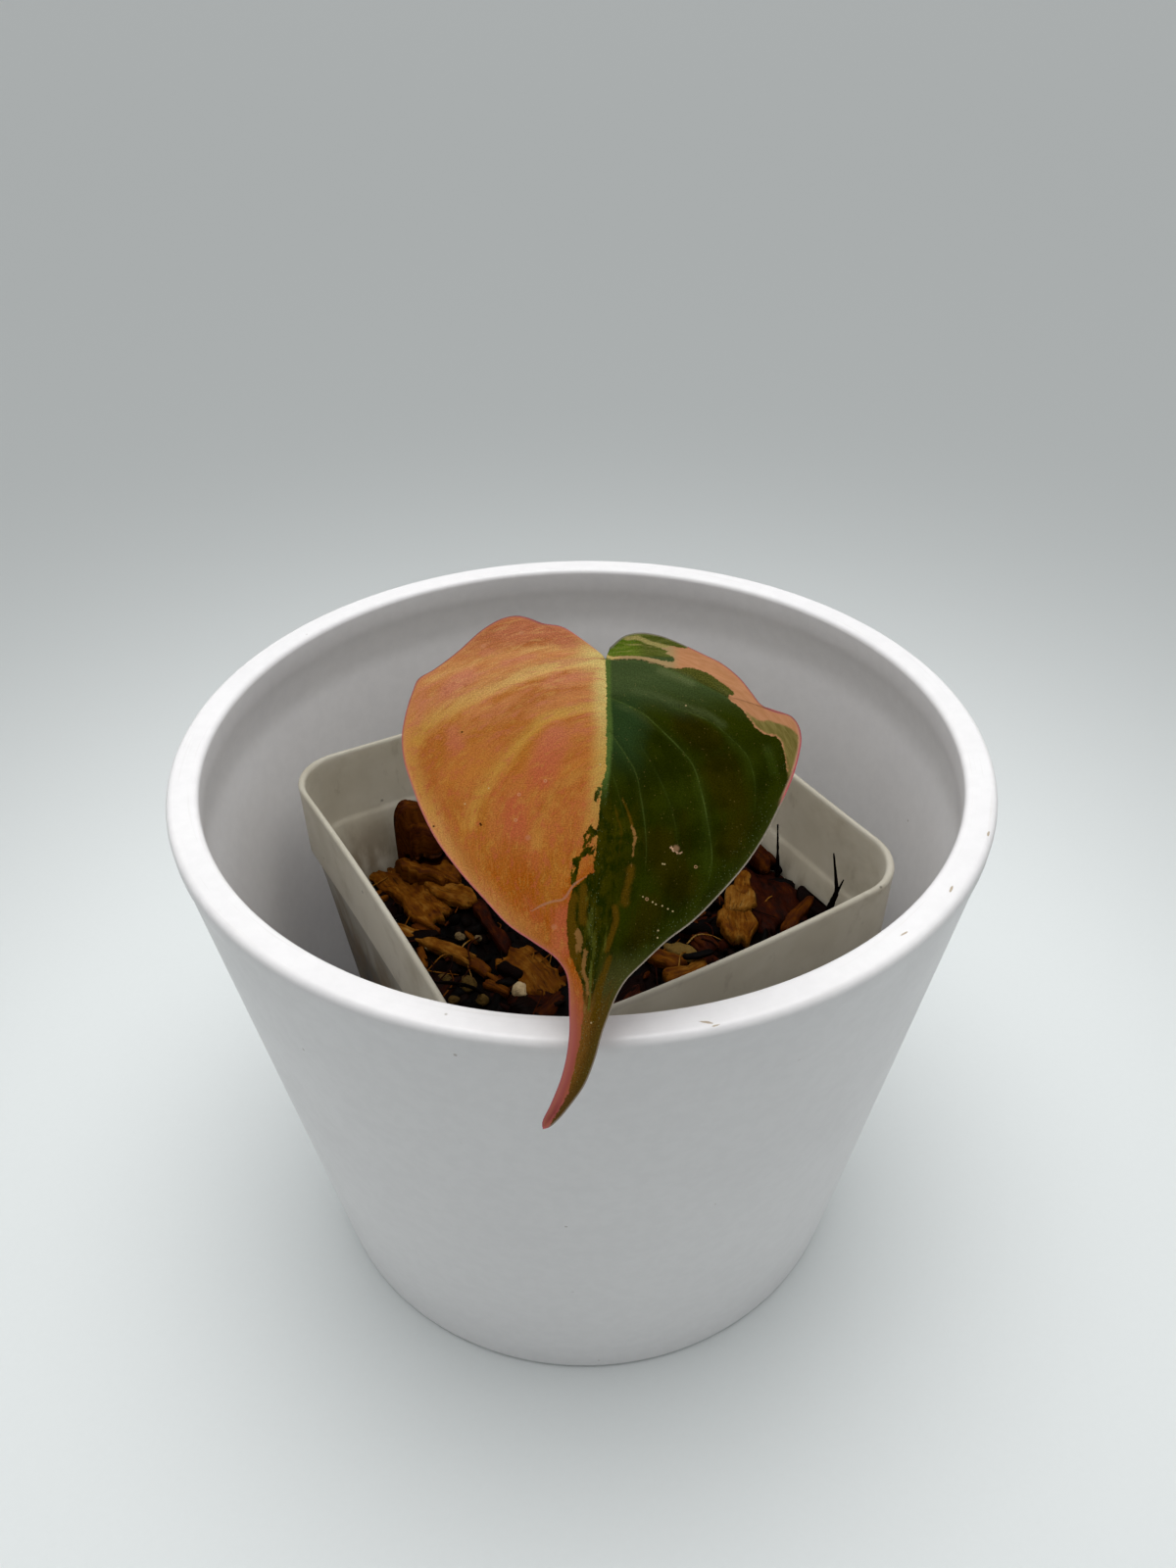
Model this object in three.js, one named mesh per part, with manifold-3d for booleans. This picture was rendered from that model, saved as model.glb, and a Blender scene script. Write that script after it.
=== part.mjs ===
// A one-leaved micans philodendron in a square nursery pot that stands in a round cover pot.
// Millimetres, +Z up. The origin is the middle of the cover pot's base. The leaf tip leans to -Y.
import * as THREE from 'three';
import { mergeVertices } from 'three/addons/utils/BufferGeometryUtils.js';
import Module from 'manifold-3d';

const wasm = await Module();
wasm.setup();

// Driving dimensions
const seatGap = 0.3; // clearance between two pieces that touch

const cover = {
  height: 108.1,
  rimRadius: 70,
  lipDepth: 4.6, // the lip stands a little proud of the wall, outside and inside
  wallTopRadius: 69.5,
  baseRadius: 54.2,
  lipInnerRadius: 64.7,
  wall: 2.6,
  floor: 3,
  segments: 64,
};

const nursery = {
  turn: THREE.MathUtils.degToRad(-60.5), // direction of the front-right side's outward normal
  rimHeight: 91,
  rimHalf: 42.3,
  bandDepth: 16,
  shoulderHalf: 41,
  // How far the middle of each soft side stands out at the rim, or in where it is negative
  bow: { frontRight: 1.9, rearRight: -0.8, rearLeft: -0.6, frontLeft: -0.9 },
  baseHalf: 33,
  wall: 1.1,
  floor: 1.2,
  drainHoleRadius: 3.5,
};

const mix = {
  level: 65.2, // height of the surface at the pot's axis
  riseFrontRight: 2.7, // how much higher it lies at the front-right side
  riseRearRight: 3.0,
  halfReach: 41,
  relief: 1.1,
  chips: 100,
  chipReach: 37, // how far from the middle the chips' places go
  lumpShare: 0.18, // rounded lumps among the chips
  stickShare: 0.2,
  twigDepth: 2.5, // how deep the twigs are rooted
  seed: 11,
};

const leaf = {
  sinus: new THREE.Vector3(3.4, -31, 142), // where the stalk meets the blade
  length: 62,
  dipAtSinus: THREE.MathUtils.degToRad(24),
  dipAtTip: THREE.MathUtils.degToRad(48),
  channel: 0.14, // slope of the two halves away from the midrib
  droop: 0.0095, // curvature of the two halves across the blade
  thickness: 0.8,
  midribThickness: 0.6,
  midribWidth: 1.3,
  marginWave: 0.35,
  waveTurns: 23, // radians of wave along each margin
  columns: 40,
  rows: 6,
};

const stem = { x: 3, y: 8, foot: 42, length: 36.6, radius: 2.5, nodeHeight: 26.5, lean: 0.3 };

const stalk = { baseRadius: 1.9, topRadius: 1.15, steps: 26, sides: 10 };

// Helpers for random draws and solids

function seededRandom(seed) {
  let state = seed;
  return () => {
    state = (state * 1664525 + 1013904223) % 4294967296;
    return state / 4294967296;
  };
}

const between = (random, low, high) => low + (high - low) * random();

function indexedGeometry(points, triangles) {
  const geometry = new THREE.BufferGeometry();
  geometry.setAttribute('position', new THREE.Float32BufferAttribute(points.flat(), 3));
  geometry.setIndex(triangles.flat());
  return geometry;
}

// Shared vertices are merged, and triangles that lost a corner to that are dropped.
function merged(geometry, tolerance = 1e-4) {
  geometry.deleteAttribute('normal');
  geometry.deleteAttribute('uv');
  const joined = mergeVertices(geometry, tolerance);
  const old = joined.index.array;
  const kept = [];
  for (let i = 0; i < old.length; i += 3) {
    const [a, b, c] = [old[i], old[i + 1], old[i + 2]];
    if (a !== b && b !== c && c !== a) kept.push(a, b, c);
  }
  joined.setIndex(kept);
  return joined;
}

function toSolid(geometry) {
  const joined = merged(geometry);
  const vertProperties = new Float32Array(joined.attributes.position.array);
  const triVerts = new Uint32Array(joined.index.array);
  return new wasm.Manifold(new wasm.Mesh({ numProp: 3, vertProperties, triVerts }));
}

function toGeometry(solid) {
  const mesh = solid.getMesh();
  const geometry = new THREE.BufferGeometry();
  geometry.setAttribute('position', new THREE.BufferAttribute(mesh.vertProperties, 3));
  geometry.setIndex(new THREE.BufferAttribute(mesh.triVerts, 1));
  return geometry;
}

// A closed body through rings of equal length, listed so that the outside is seen on the way.
function loft(rings) {
  const count = rings[0].length;
  const points = rings.flat();
  const triangles = [];
  for (let r = 0; r < rings.length - 1; r++) {
    for (let i = 0; i < count; i++) {
      const next = (i + 1) % count;
      const [a, b] = [r * count + i, r * count + next];
      triangles.push([a, b, b + count], [a, b + count, a + count]);
    }
  }
  const capped = [[0, rings[0], true], [(rings.length - 1) * count, rings.at(-1), false]];
  for (const [start, ring, first] of capped) {
    const middle = points.length;
    points.push([0, 1, 2].map((k) => ring.reduce((sum, p) => sum + p[k], 0) / count));
    for (let i = 0; i < count; i++) {
      const [a, b] = [start + i, start + ((i + 1) % count)];
      triangles.push(first ? [middle, b, a] : [middle, a, b]);
    }
  }
  return indexedGeometry(points, triangles);
}

// A round rod along a curve whose radius follows radiusAt(0..1).
function rod(curve, radiusAt, steps, sides) {
  const frames = curve.computeFrenetFrames(steps, false);
  const rings = [];
  for (let s = 0; s <= steps; s++) {
    const centre = curve.getPointAt(s / steps);
    const ring = [];
    for (let i = 0; i < sides; i++) {
      const angle = (2 * Math.PI * i) / sides;
      const point = centre
        .clone()
        .addScaledVector(frames.normals[s], radiusAt(s / steps) * Math.cos(angle))
        .addScaledVector(frames.binormals[s], radiusAt(s / steps) * Math.sin(angle));
      ring.push(point.toArray());
    }
    rings.push(ring);
  }
  return loft(rings);
}

// Cover pot

function coverPot() {
  const { height, rimRadius, lipDepth, wallTopRadius, baseRadius, lipInnerRadius } = cover;
  const { wall, floor } = cover;
  const shoulder = height - lipDepth;
  const slope = (wallTopRadius - baseRadius) / shoulder;
  const outer = (z) => baseRadius + slope * z;
  const inner = (z) => outer(z) - wall;
  const profile = [
    [0, 0],
    [baseRadius - 2, 0],
    [baseRadius - 0.5, 0.5],
    [outer(2), 2],
    [outer(shoulder / 2), shoulder / 2],
    [wallTopRadius, shoulder],
    [rimRadius - 0.1, shoulder + 1.6],
    [rimRadius, height - 1.4],
    [rimRadius - 0.4, height - 0.5],
    [rimRadius - 1.4, height],
    [lipInnerRadius + 1.2, height],
    [lipInnerRadius + 0.3, height - 0.4],
    [lipInnerRadius, height - 1.2],
    [lipInnerRadius, height - lipDepth],
    [inner(height - 2 * lipDepth), height - 2 * lipDepth],
    [inner(shoulder / 2), shoulder / 2],
    [inner(floor + 3), floor + 3],
    [inner(floor) - 0.8, floor + 0.8],
    [inner(floor) - 3, floor],
    [0, floor],
  ];
  const points = profile.map(([r, z]) => new THREE.Vector2(r, z));
  return new THREE.LatheGeometry(points, cover.segments).rotateX(Math.PI / 2);
}

// Nursery pot: everything is drawn in its own frame, then turned about the common axis.

const cornerSteps = 5;
const sideSteps = 4;
const cornerShare = 0.23; // corner radius over half the width

function squareRing(half, z) {
  const flat = [];
  const radius = half * cornerShare;
  const straight = half - radius;
  for (let corner = 0; corner < 4; corner++) {
    const start = (corner * Math.PI) / 2;
    const [out, along] = [new THREE.Vector2(1, 0), new THREE.Vector2(0, 1)];
    out.rotateAround(new THREE.Vector2(), start);
    along.rotateAround(new THREE.Vector2(), start);
    for (let i = 1; i < sideSteps; i++) {
      const place = straight * ((2 * i) / sideSteps - 1);
      flat.push(out.clone().multiplyScalar(half).addScaledVector(along, place));
    }
    for (let i = 0; i <= cornerSteps; i++) {
      const angle = (i / cornerSteps) * (Math.PI / 2);
      const point = out.clone().multiplyScalar(straight + radius * Math.cos(angle));
      flat.push(point.addScaledVector(along, straight + radius * Math.sin(angle)));
    }
  }
  return flat.map(({ x, y }) => bowed(x, y, half, z));
}

// The sides bow more towards the rim, and not at their corners.
function bowed(x, y, half, z) {
  const { frontRight, rearRight, rearLeft, frontLeft } = nursery.bow;
  const share = z / nursery.rimHeight / half;
  const bowX = x > 0 ? frontRight : -rearLeft;
  const bowY = y > 0 ? rearRight : -frontLeft;
  return [
    x + share * bowX * Math.abs(x) * (1 - (y / half) ** 2),
    y + share * bowY * Math.abs(y) * (1 - (x / half) ** 2),
    z,
  ];
}

const potFoot = cover.floor + seatGap;
const shoulderHeight = nursery.rimHeight - nursery.bandDepth;
const innerFloor = potFoot + nursery.floor;

function innerHalf(z) {
  const share = (z - innerFloor) / (shoulderHeight - innerFloor);
  return THREE.MathUtils.lerp(nursery.baseHalf, nursery.shoulderHalf, share) - nursery.wall;
}

function nurseryPot() {
  const { rimHeight, rimHalf, shoulderHalf, baseHalf, wall } = nursery;
  const profile = [
    [baseHalf - 1.2, potFoot],
    [baseHalf, potFoot + 1],
    [shoulderHalf, shoulderHeight - 0.6],
    [rimHalf - 0.3, shoulderHeight + 0.9],
    [rimHalf, rimHeight - 0.6],
    [rimHalf - 0.3, rimHeight],
    [rimHalf - wall + 0.3, rimHeight],
    [rimHalf - wall, rimHeight - 0.6],
    [rimHalf - 0.3 - wall, shoulderHeight + 1.2],
    [shoulderHalf - wall, shoulderHeight - 0.3],
    [innerHalf(innerFloor + 1), innerFloor + 1],
    [innerHalf(innerFloor) - 1, innerFloor],
  ];
  let pot = toSolid(loft(profile.map(([half, z]) => squareRing(half, z))));
  const reach = baseHalf - 3 * nursery.drainHoleRadius;
  for (const x of [-reach, 0, reach]) {
    for (const y of [-reach, 0, reach]) {
      const drill = new THREE.CylinderGeometry(
        nursery.drainHoleRadius, nursery.drainHoleRadius, 4 * nursery.floor, 12);
      drill.rotateX(Math.PI / 2).translate(x, y, potFoot);
      pot = pot.subtract(toSolid(drill));
    }
  }
  return toGeometry(pot).rotateZ(nursery.turn);
}

// Potting mix: a body that fills the nursery pot, with chips sunk into its surface

const frontRight = new THREE.Vector2(Math.cos(nursery.turn), Math.sin(nursery.turn));
const rearRight = new THREE.Vector2(-frontRight.y, frontRight.x);

// Surface height at a point of the nursery pot's own frame
function mixHeight(u, w) {
  const ripple = Math.sin(u * 0.41 + 1.3) * Math.cos(w * 0.37) + 0.5 * Math.sin(u * 0.9 - w * 0.7);
  const slant = (mix.riseFrontRight * u + mix.riseRearRight * w) / mix.halfReach;
  return mix.level + slant + (mix.relief * ripple) / 1.5;
}

function mixSpace(top, surface) {
  const rings = [];
  const foot = innerFloor + seatGap;
  rings.push(squareRing(innerHalf(foot) - 1 - seatGap, foot));
  rings.push(squareRing(innerHalf(foot + 1) - seatGap, foot + 1));
  const edge = innerHalf(shoulderHeight) - seatGap;
  if (!surface) {
    rings.push(squareRing(edge, shoulderHeight - seatGap), squareRing(edge, top));
    return loft(rings);
  }
  for (const share of [1, 0.85, 0.7, 0.55, 0.4, 0.25, 0.1]) {
    const ring = squareRing(innerHalf(mix.level) - seatGap, mix.level);
    rings.push(ring.map(([u, w]) => [u * share, w * share, mixHeight(u * share, w * share)]));
  }
  return loft(rings);
}

// A rough block or lump with its corners moved at random
function chip(random, size, rounded) {
  const shape = rounded ? new THREE.IcosahedronGeometry(0.5, 0) : new THREE.BoxGeometry(1, 1, 1);
  const rough = merged(shape, 1e-3);
  const position = rough.attributes.position;
  for (let i = 0; i < position.count; i++) {
    const scale = rounded ? between(random, 0.85, 1.2) : between(random, 0.72, 1.05);
    position.setXYZ(
      i, position.getX(i) * scale, position.getY(i) * scale, position.getZ(i) * scale);
  }
  return rough.scale(size[0], size[1], size[2]);
}

// Chips that stand out in the photograph: place in the pot's frame, turn, tilt and size
const namedChips = [
  { u: -33, w: -15, up: 17, turn: 0.1, tilt: 0.12, size: [8, 13, 22] },
  { u: -31, w: -21, up: 1.5, turn: 0.5, tilt: 0.15, size: [20, 6, 3] },
  { u: -25, w: -22, up: 1, turn: 0.9, tilt: 0.2, size: [11, 6, 2.5] },
  { u: -14, w: -27, up: 1, turn: 0.4, tilt: 0.1, size: [20, 2.4, 2.2] },
  { u: -12, w: -15, up: 1, turn: 0.1, tilt: 0.1, size: [15, 3, 2.5] },
  { u: 5, w: -14, up: 1, turn: 1.9, tilt: 0.2, size: [12, 9, 4] },
  { u: 9, w: -19, up: 1.5, turn: 0, tilt: 0, size: [3.4, 3.2, 3.2], rounded: true },
  { u: -10, w: -21, up: 1.5, turn: 0, tilt: 0, size: [2.6, 2.6, 2.6], rounded: true },
  { u: 18, w: 12, up: 1.5, turn: 0.6, tilt: 0, size: [7, 4.5, 4], rounded: true },
  { u: 14, w: 28, up: 2, turn: 2.3, tilt: 0.4, size: [12, 7, 4] },
  { u: 17, w: 34, up: 1.5, turn: 0.2, tilt: 0.3, size: [16, 9, 4] },
  { u: 22, w: 31, up: 1, turn: 1.2, tilt: 0.2, size: [13, 8, 4] },
  { u: 22, w: 8, up: 1.5, turn: 1.6, tilt: 0.3, size: [9, 7, 4] },
  { u: 18, w: 19, up: 1, turn: 0.9, tilt: 0.3, size: [12, 7, 4] },
];

function seededChips(random) {
  const chips = [];
  const across = Math.ceil(Math.sqrt(mix.chips));
  const cell = (2 * mix.chipReach) / across;
  for (let i = 0; i < across * across; i++) {
    const u = -mix.chipReach + cell * ((i % across) + random());
    const w = -mix.chipReach + cell * (Math.floor(i / across) + random());
    const kind = random();
    const rounded = kind > 1 - mix.lumpShare;
    const stick = kind < mix.stickShare;
    const size = rounded
      ? [between(random, 3, 6), between(random, 3, 5), between(random, 3, 4)]
      : stick
        ? [between(random, 14, 22), between(random, 2, 3.2), between(random, 2, 2.6)]
        : [between(random, 8, 15), between(random, 5, 10), between(random, 3, 5)];
    const [turn, tilt] = [between(random, 0, Math.PI), between(random, -0.45, 0.45)];
    chips.push({ u, w, up: between(random, 0.8, 2.6), turn, tilt, size, rounded });
  }
  return chips;
}

// Thin dark twigs: foot in the pot's frame, and where the free end stands from it
const twigs = [
  { u: 13, w: 35.5, lean: [0.6, 1.6, 14], radius: 0.5 },
  { u: 24.5, w: 38, lean: [-1.2, 0.4, 11], radius: 0.6 },
  { u: 3, w: -27, lean: [-4, -5, 3.5], radius: 0.5 },
];

function stemAxis() {
  return new THREE.Vector3(0, Math.sin(stem.lean), Math.cos(stem.lean));
}

function placeStem(geometry) {
  geometry.rotateX(-stem.lean);
  return geometry.translate(stem.x, stem.y, stem.foot);
}

function pottingMix() {
  const random = seededRandom(mix.seed);
  const pieces = [toSolid(mixSpace(0, true))];
  for (const item of [...namedChips, ...seededChips(random)]) {
    const shape = chip(random, item.size, item.rounded);
    shape.rotateY(item.tilt).rotateZ(item.turn);
    shape.translate(item.u, item.w, mixHeight(item.u, item.w) + item.up - item.size[2] / 2);
    pieces.push(toSolid(shape));
  }
  for (const { u, w, lean, radius } of twigs) {
    const foot = new THREE.Vector3(u, w, mixHeight(u, w) - mix.twigDepth);
    const tip = foot.clone().add(new THREE.Vector3(...lean));
    const path = new THREE.LineCurve3(foot, tip);
    pieces.push(toSolid(rod(path, (t) => radius * (1 - 0.35 * t), 2, 5)));
  }
  let body = wasm.Manifold.union(pieces);
  body = body.intersect(toSolid(mixSpace(nursery.rimHeight, false)));
  const inPlace = toSolid(toGeometry(body).rotateZ(nursery.turn));
  const hole = stemShape(seatGap);
  return toGeometry(largestPiece(inPlace.subtract(toSolid(hole))));
}

// Cutting can leave crumbs: only the body itself is kept.
function largestPiece(solid) {
  const parts = solid.decompose();
  return parts.reduce((best, part) => (part.volume() > best.volume() ? part : best));
}

// The rooted piece of vine, drawn upright and then leaned back; grow widens it to cut its hole

function stemShape(grow = 0) {
  const { radius, length, nodeHeight } = stem;
  const profile = [
    [0, -grow],
    [radius - 0.7 + grow, -grow],
    [radius + grow, 0.8],
    [radius - 0.1 + grow, nodeHeight - 3],
    [radius + 0.6 + grow, nodeHeight],
    [radius - 0.1 + grow, nodeHeight + 2.5],
    [radius - 0.3 + grow, length - 0.5],
    [radius - 0.8 + grow, length + grow],
    [0, length + grow],
  ];
  const points = profile.map(([r, z]) => new THREE.Vector2(r, z));
  return placeStem(new THREE.LatheGeometry(points, 14).rotateX(Math.PI / 2));
}

// Leaf blade. Flat places are (across, along): across to the right of the stalk's end, along
// down the blade from it. The surface bends downwards along, and droops across.

const leftOutline = [
  [-1.3, -1.6], [-3, -3.1], [-6, -5.2], [-8.6, -5.7], [-10.8, -6.8], [-12.5, -7.3],
  [-14.6, -7], [-17.3, -5.5], [-20.5, -2.6], [-23.8, -0.2], [-26, 1], [-26.7, 3],
  [-27.5, 6.7], [-27.8, 10.4], [-27.3, 14], [-26.1, 17.7], [-24.7, 21.4], [-22.4, 26],
  [-19.1, 30.7], [-16, 34.3], [-12.9, 37.7], [-9.5, 40.1], [-7, 41.9], [-5.8, 43.5],
  [-5.4, 45], [-5.3, 48], [-5.3, 51], [-5.7, 54], [-6.4, 56.6], [-7.6, 59.5], [-8.7, 61.8],
  [-8.6, 62.5],
];

const rightOutline = [
  [0.6, -1.6], [2.6, -3.4], [4.8, -3.9], [7.5, -3.5], [10, -2.5], [13.2, -0.9],
  [16.1, 0.7], [18.4, 3], [19.8, 5.2], [21, 7], [22.9, 7.8], [25, 8.1], [26, 9.3],
  [26.3, 11.3], [25.8, 13.8], [24.6, 17.4], [22.3, 22.2], [20, 26.4], [17.3, 30.3],
  [14, 34], [10.4, 37.5], [7, 40], [4, 42.7], [1.8, 44.8], [0.6, 46.7], [-0.3, 48.8],
  [-1.2, 51.1], [-2.2, 54.4], [-3.5, 57.4], [-5.2, 59.7], [-6.6, 61.3], [-7.8, 62.3],
  [-8.6, 62.5],
];

const midrib = [[0, 0], [-0.1, 7], [0, 12], [-0.4, 17], [-1.3, 25], [-1.9, 33.4], [-2.6, 43],
  [-3.1, 48.7], [-4.4, 55], [-6.6, 59.9], [-8.6, 62.5]];

function flatCurve(points) {
  return new THREE.CatmullRomCurve3(points.map(([x, s]) => new THREE.Vector3(x, s, 0)));
}

const midribCurve = flatCurve(midrib);

function dipAt(along) {
  const share = THREE.MathUtils.clamp(along / leaf.length, -0.15, 1.05);
  return THREE.MathUtils.lerp(leaf.dipAtSinus, leaf.dipAtTip, share);
}

// The curve that the blade follows lengthwise, as [y, z] from the sinus, summed in short steps
function spineAt(along) {
  const steps = 40;
  let [y, z] = [0, 0];
  for (let i = 0; i < steps; i++) {
    const dip = dipAt((along * (i + 0.5)) / steps);
    y -= (Math.cos(dip) * along) / steps;
    z -= (Math.sin(dip) * along) / steps;
  }
  return [y, z];
}

function bladePoint(across, along, lift) {
  const [y, z] = spineAt(along);
  const dip = dipAt(along);
  const away = Math.hypot(across, 1.5) - 1.5;
  const height = leaf.channel * away - leaf.droop * across * across + lift;
  const { sinus } = leaf;
  return [
    sinus.x + across,
    sinus.y + y - height * Math.sin(dip),
    sinus.z + z + height * Math.cos(dip),
  ];
}

// Where the side vein that ends at this share of the outline leaves the midrib
function veinStart(share) {
  const bare = 0.2; // the lobes behind the stalk are fed from its end alone
  return share <= bare ? 0 : ((share - bare) / (1 - bare)) ** 1.6;
}

function bladeSide(outline, side, thickness) {
  const curve = flatCurve(outline);
  const { columns, rows } = leaf;
  const grid = [];
  for (let c = 0; c <= columns; c++) {
    const share = c / columns;
    const root = midribCurve.getPointAt(veinStart(share));
    const end = curve.getPointAt(share);
    const line = [];
    for (let r = 0; r <= rows; r++) {
      const out = (r / rows) ** 1.15;
      const across = THREE.MathUtils.lerp(root.x, end.x, out);
      const along = THREE.MathUtils.lerp(root.y, end.y, out);
      const wave = leaf.marginWave * out ** 4 * Math.sin(share * leaf.waveTurns + side) * (1 - share);
      const rib = leaf.midribThickness * (1 - share) * Math.exp(
        -(((across - root.x) / leaf.midribWidth) ** 2));
      const top = bladePoint(across, along, wave);
      const under = bladePoint(across, along, wave - thickness - rib);
      line.push([top, under]);
    }
    grid.push(line);
  }
  return grid;
}

function leafBlade(thickness = leaf.thickness) {
  const [left, right] = [
    bladeSide(leftOutline, -1, thickness), bladeSide(rightOutline, 1, thickness)];
  const { columns, rows } = leaf;
  const points = [];
  const triangles = [];
  const face = (a, b, c) => {
    const start = points.length;
    points.push(a, b, c);
    triangles.push([start, start + 1, start + 2]);
  };
  const halves = [[left, false], [right, true]];
  for (const [grid, mirrored] of halves) {
    const facing = (a, b, c) => (mirrored ? face(a, b, c) : face(a, c, b));
    for (let c = 0; c < columns; c++) {
      for (let r = 0; r < rows; r++) {
        const [p, q, v, w] = [grid[c][r], grid[c][r + 1], grid[c + 1][r + 1], grid[c + 1][r]];
        facing(p[0], v[0], q[0]);
        facing(p[0], w[0], v[0]);
        facing(p[1], q[1], v[1]);
        facing(p[1], v[1], w[1]);
      }
    }
    const rim = [...grid[0], ...grid.slice(1).map((line) => line[rows])];
    for (let i = 0; i < rim.length - 1; i++) {
      const [a, b] = [rim[i], rim[i + 1]];
      facing(a[0], b[0], b[1]);
      facing(a[0], b[1], a[1]);
    }
  }
  return merged(indexedGeometry(points, triangles));
}

// Stalk: from the node on the vine to just under the blade, and cut clear of both

function petiole() {
  const nodeCentre = stemAxis().multiplyScalar(stem.nodeHeight);
  const foot = new THREE.Vector3(stem.x, stem.y, stem.foot).add(nodeCentre);
  const head = new THREE.Vector3(...bladePoint(0, 1.6, -0.3));
  const path = new THREE.CatmullRomCurve3([
    foot,
    new THREE.Vector3(stem.x, stem.y + 0.5, foot.z + 7),
    new THREE.Vector3(3.1, 4.5, 93),
    new THREE.Vector3(3.3, -7, 114),
    new THREE.Vector3(3.4, -22, 130),
    head,
  ]);
  const radiusAt = (t) => THREE.MathUtils.lerp(stalk.baseRadius, stalk.topRadius, Math.sqrt(t));
  let body = toSolid(rod(path, radiusAt, stalk.steps, stalk.sides));
  body = body.subtract(toSolid(stemShape(seatGap)));
  const bladeSpace = leafBlade(leaf.thickness + seatGap);
  const raised = bladeSpace.clone().translate(0, 0, 0.6);
  body = body.subtract(toSolid(bladeSpace)).subtract(toSolid(raised));
  return toGeometry(largestPiece(body));
}

// Pieces and their finishes

const finishes = {
  cover: { color: 0xe9ebeb, roughness: 0.55, metalness: 0 },
  nursery: { color: 0xb9b5a8, roughness: 0.4, metalness: 0 },
  mix: { color: 0x4a2713, roughness: 0.95, metalness: 0 },
  stem: { color: 0x5b5a2c, roughness: 0.7, metalness: 0 },
  stalk: { color: 0x8a5a3a, roughness: 0.7, metalness: 0 },
  leaf: { color: 0x9a6a30, roughness: 0.6, metalness: 0 },
};

const pieces = [
  ['cachepot', coverPot(), finishes.cover],
  ['nursery_pot', nurseryPot(), finishes.nursery],
  ['potting_mix', pottingMix(), finishes.mix],
  ['vine_stem', stemShape(), finishes.stem],
  ['petiole', petiole(), finishes.stalk],
  ['leaf_blade', leafBlade(), finishes.leaf],
];

const plant = new THREE.Group();
for (const [name, geometry, finish] of pieces) {
  const mesh = new THREE.Mesh(geometry, new THREE.MeshStandardMaterial(finish));
  mesh.name = name;
  plant.add(mesh);
}

export default plant;
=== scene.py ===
# Looks for a one-leaved variegated micans philodendron in a nursery pot and a cover pot.
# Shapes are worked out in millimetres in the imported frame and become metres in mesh_piece().
import math

import bmesh
import bpy
import numpy as np
from mathutils import Matrix, Vector


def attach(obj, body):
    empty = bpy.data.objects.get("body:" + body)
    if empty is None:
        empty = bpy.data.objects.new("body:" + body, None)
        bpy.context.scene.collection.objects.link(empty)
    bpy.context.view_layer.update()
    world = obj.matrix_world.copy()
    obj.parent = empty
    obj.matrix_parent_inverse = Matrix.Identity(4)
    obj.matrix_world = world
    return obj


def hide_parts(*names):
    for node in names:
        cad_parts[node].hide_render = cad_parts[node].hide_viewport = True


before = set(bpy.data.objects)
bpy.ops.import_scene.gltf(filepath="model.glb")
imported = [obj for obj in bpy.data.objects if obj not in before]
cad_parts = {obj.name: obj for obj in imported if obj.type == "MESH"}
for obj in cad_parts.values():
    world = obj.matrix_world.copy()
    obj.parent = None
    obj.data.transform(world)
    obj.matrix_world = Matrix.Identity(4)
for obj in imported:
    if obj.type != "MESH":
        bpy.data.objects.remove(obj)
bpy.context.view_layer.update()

MM = 0.001
BODY = "root"
MERGE_GRID = 0.004  # points nearer than this, in mm, become one
scene = bpy.context.scene
scene.view_settings.view_transform = "Standard"


# Camera and stage

FOCAL = 1250 / 1600  # focal length over the frame's height
CAMERA_AT = (0.0, -0.1767, 0.2273)
PITCH = 0.6318  # downwards, in radians
YAW = 0.0059
ROLL = -0.0068

# Overhead panels: name, side, height, spread in degrees and watts
PANELS = [("soft_panel", 0.32, 0.40, 85, 0.31), ("wide_panel", 0.50, 0.60, 180, 0.24)]


def make_camera():
    sensor = 36
    data = bpy.data.cameras.new("camera")
    data.sensor_fit = "VERTICAL"
    data.sensor_height = sensor
    data.lens = FOCAL * sensor
    data.clip_start = 0.01
    camera = bpy.data.objects.new("camera", data)
    scene.collection.objects.link(camera)
    forward = Vector((
        math.sin(YAW) * math.cos(PITCH), math.cos(YAW) * math.cos(PITCH), -math.sin(PITCH)))
    level = Vector((math.cos(YAW), -math.sin(YAW), 0))
    upward = level.cross(forward)
    right = math.cos(ROLL) * level + math.sin(ROLL) * upward
    up = math.cos(ROLL) * upward - math.sin(ROLL) * level
    turn = Matrix((right, up, -forward)).transposed().to_4x4()
    camera.matrix_world = Matrix.Translation(CAMERA_AT) @ turn
    scene.camera = camera


def make_lights():
    """A low soft panel, a wide weak one over it, and soft light all round, stronger from behind."""
    for name, size, height, spread, watts in PANELS:
        data = bpy.data.lights.new(name, "AREA")
        data.shape = "SQUARE"
        data.size = size
        data.spread = math.radians(spread)
        data.energy = watts
        lamp = bpy.data.objects.new(name, data)
        scene.collection.objects.link(lamp)
        lamp.location = (0, 0, height)
    world = bpy.data.worlds.new("studio")
    world.use_nodes = True
    tree = world.node_tree
    direction = tree.nodes.new("ShaderNodeTexCoord").outputs["Generated"]
    split = tree.nodes.new("ShaderNodeSeparateXYZ")
    tree.links.new(direction, split.inputs[0])
    level = tree.nodes.new("ShaderNodeMapRange")
    tree.links.new(split.outputs["Y"], level.inputs["Value"])
    for key, value in (("From Min", -0.4), ("From Max", 1.0), ("To Min", 0.29), ("To Max", 0.80)):
        level.inputs[key].default_value = value
    air = tree.nodes["Background"]
    air.inputs["Color"].default_value = (0.985, 1.0, 1.0, 1)
    tree.links.new(level.outputs["Result"], air.inputs["Strength"])
    scene.world = world


# Random draws, noise and curves


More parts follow.
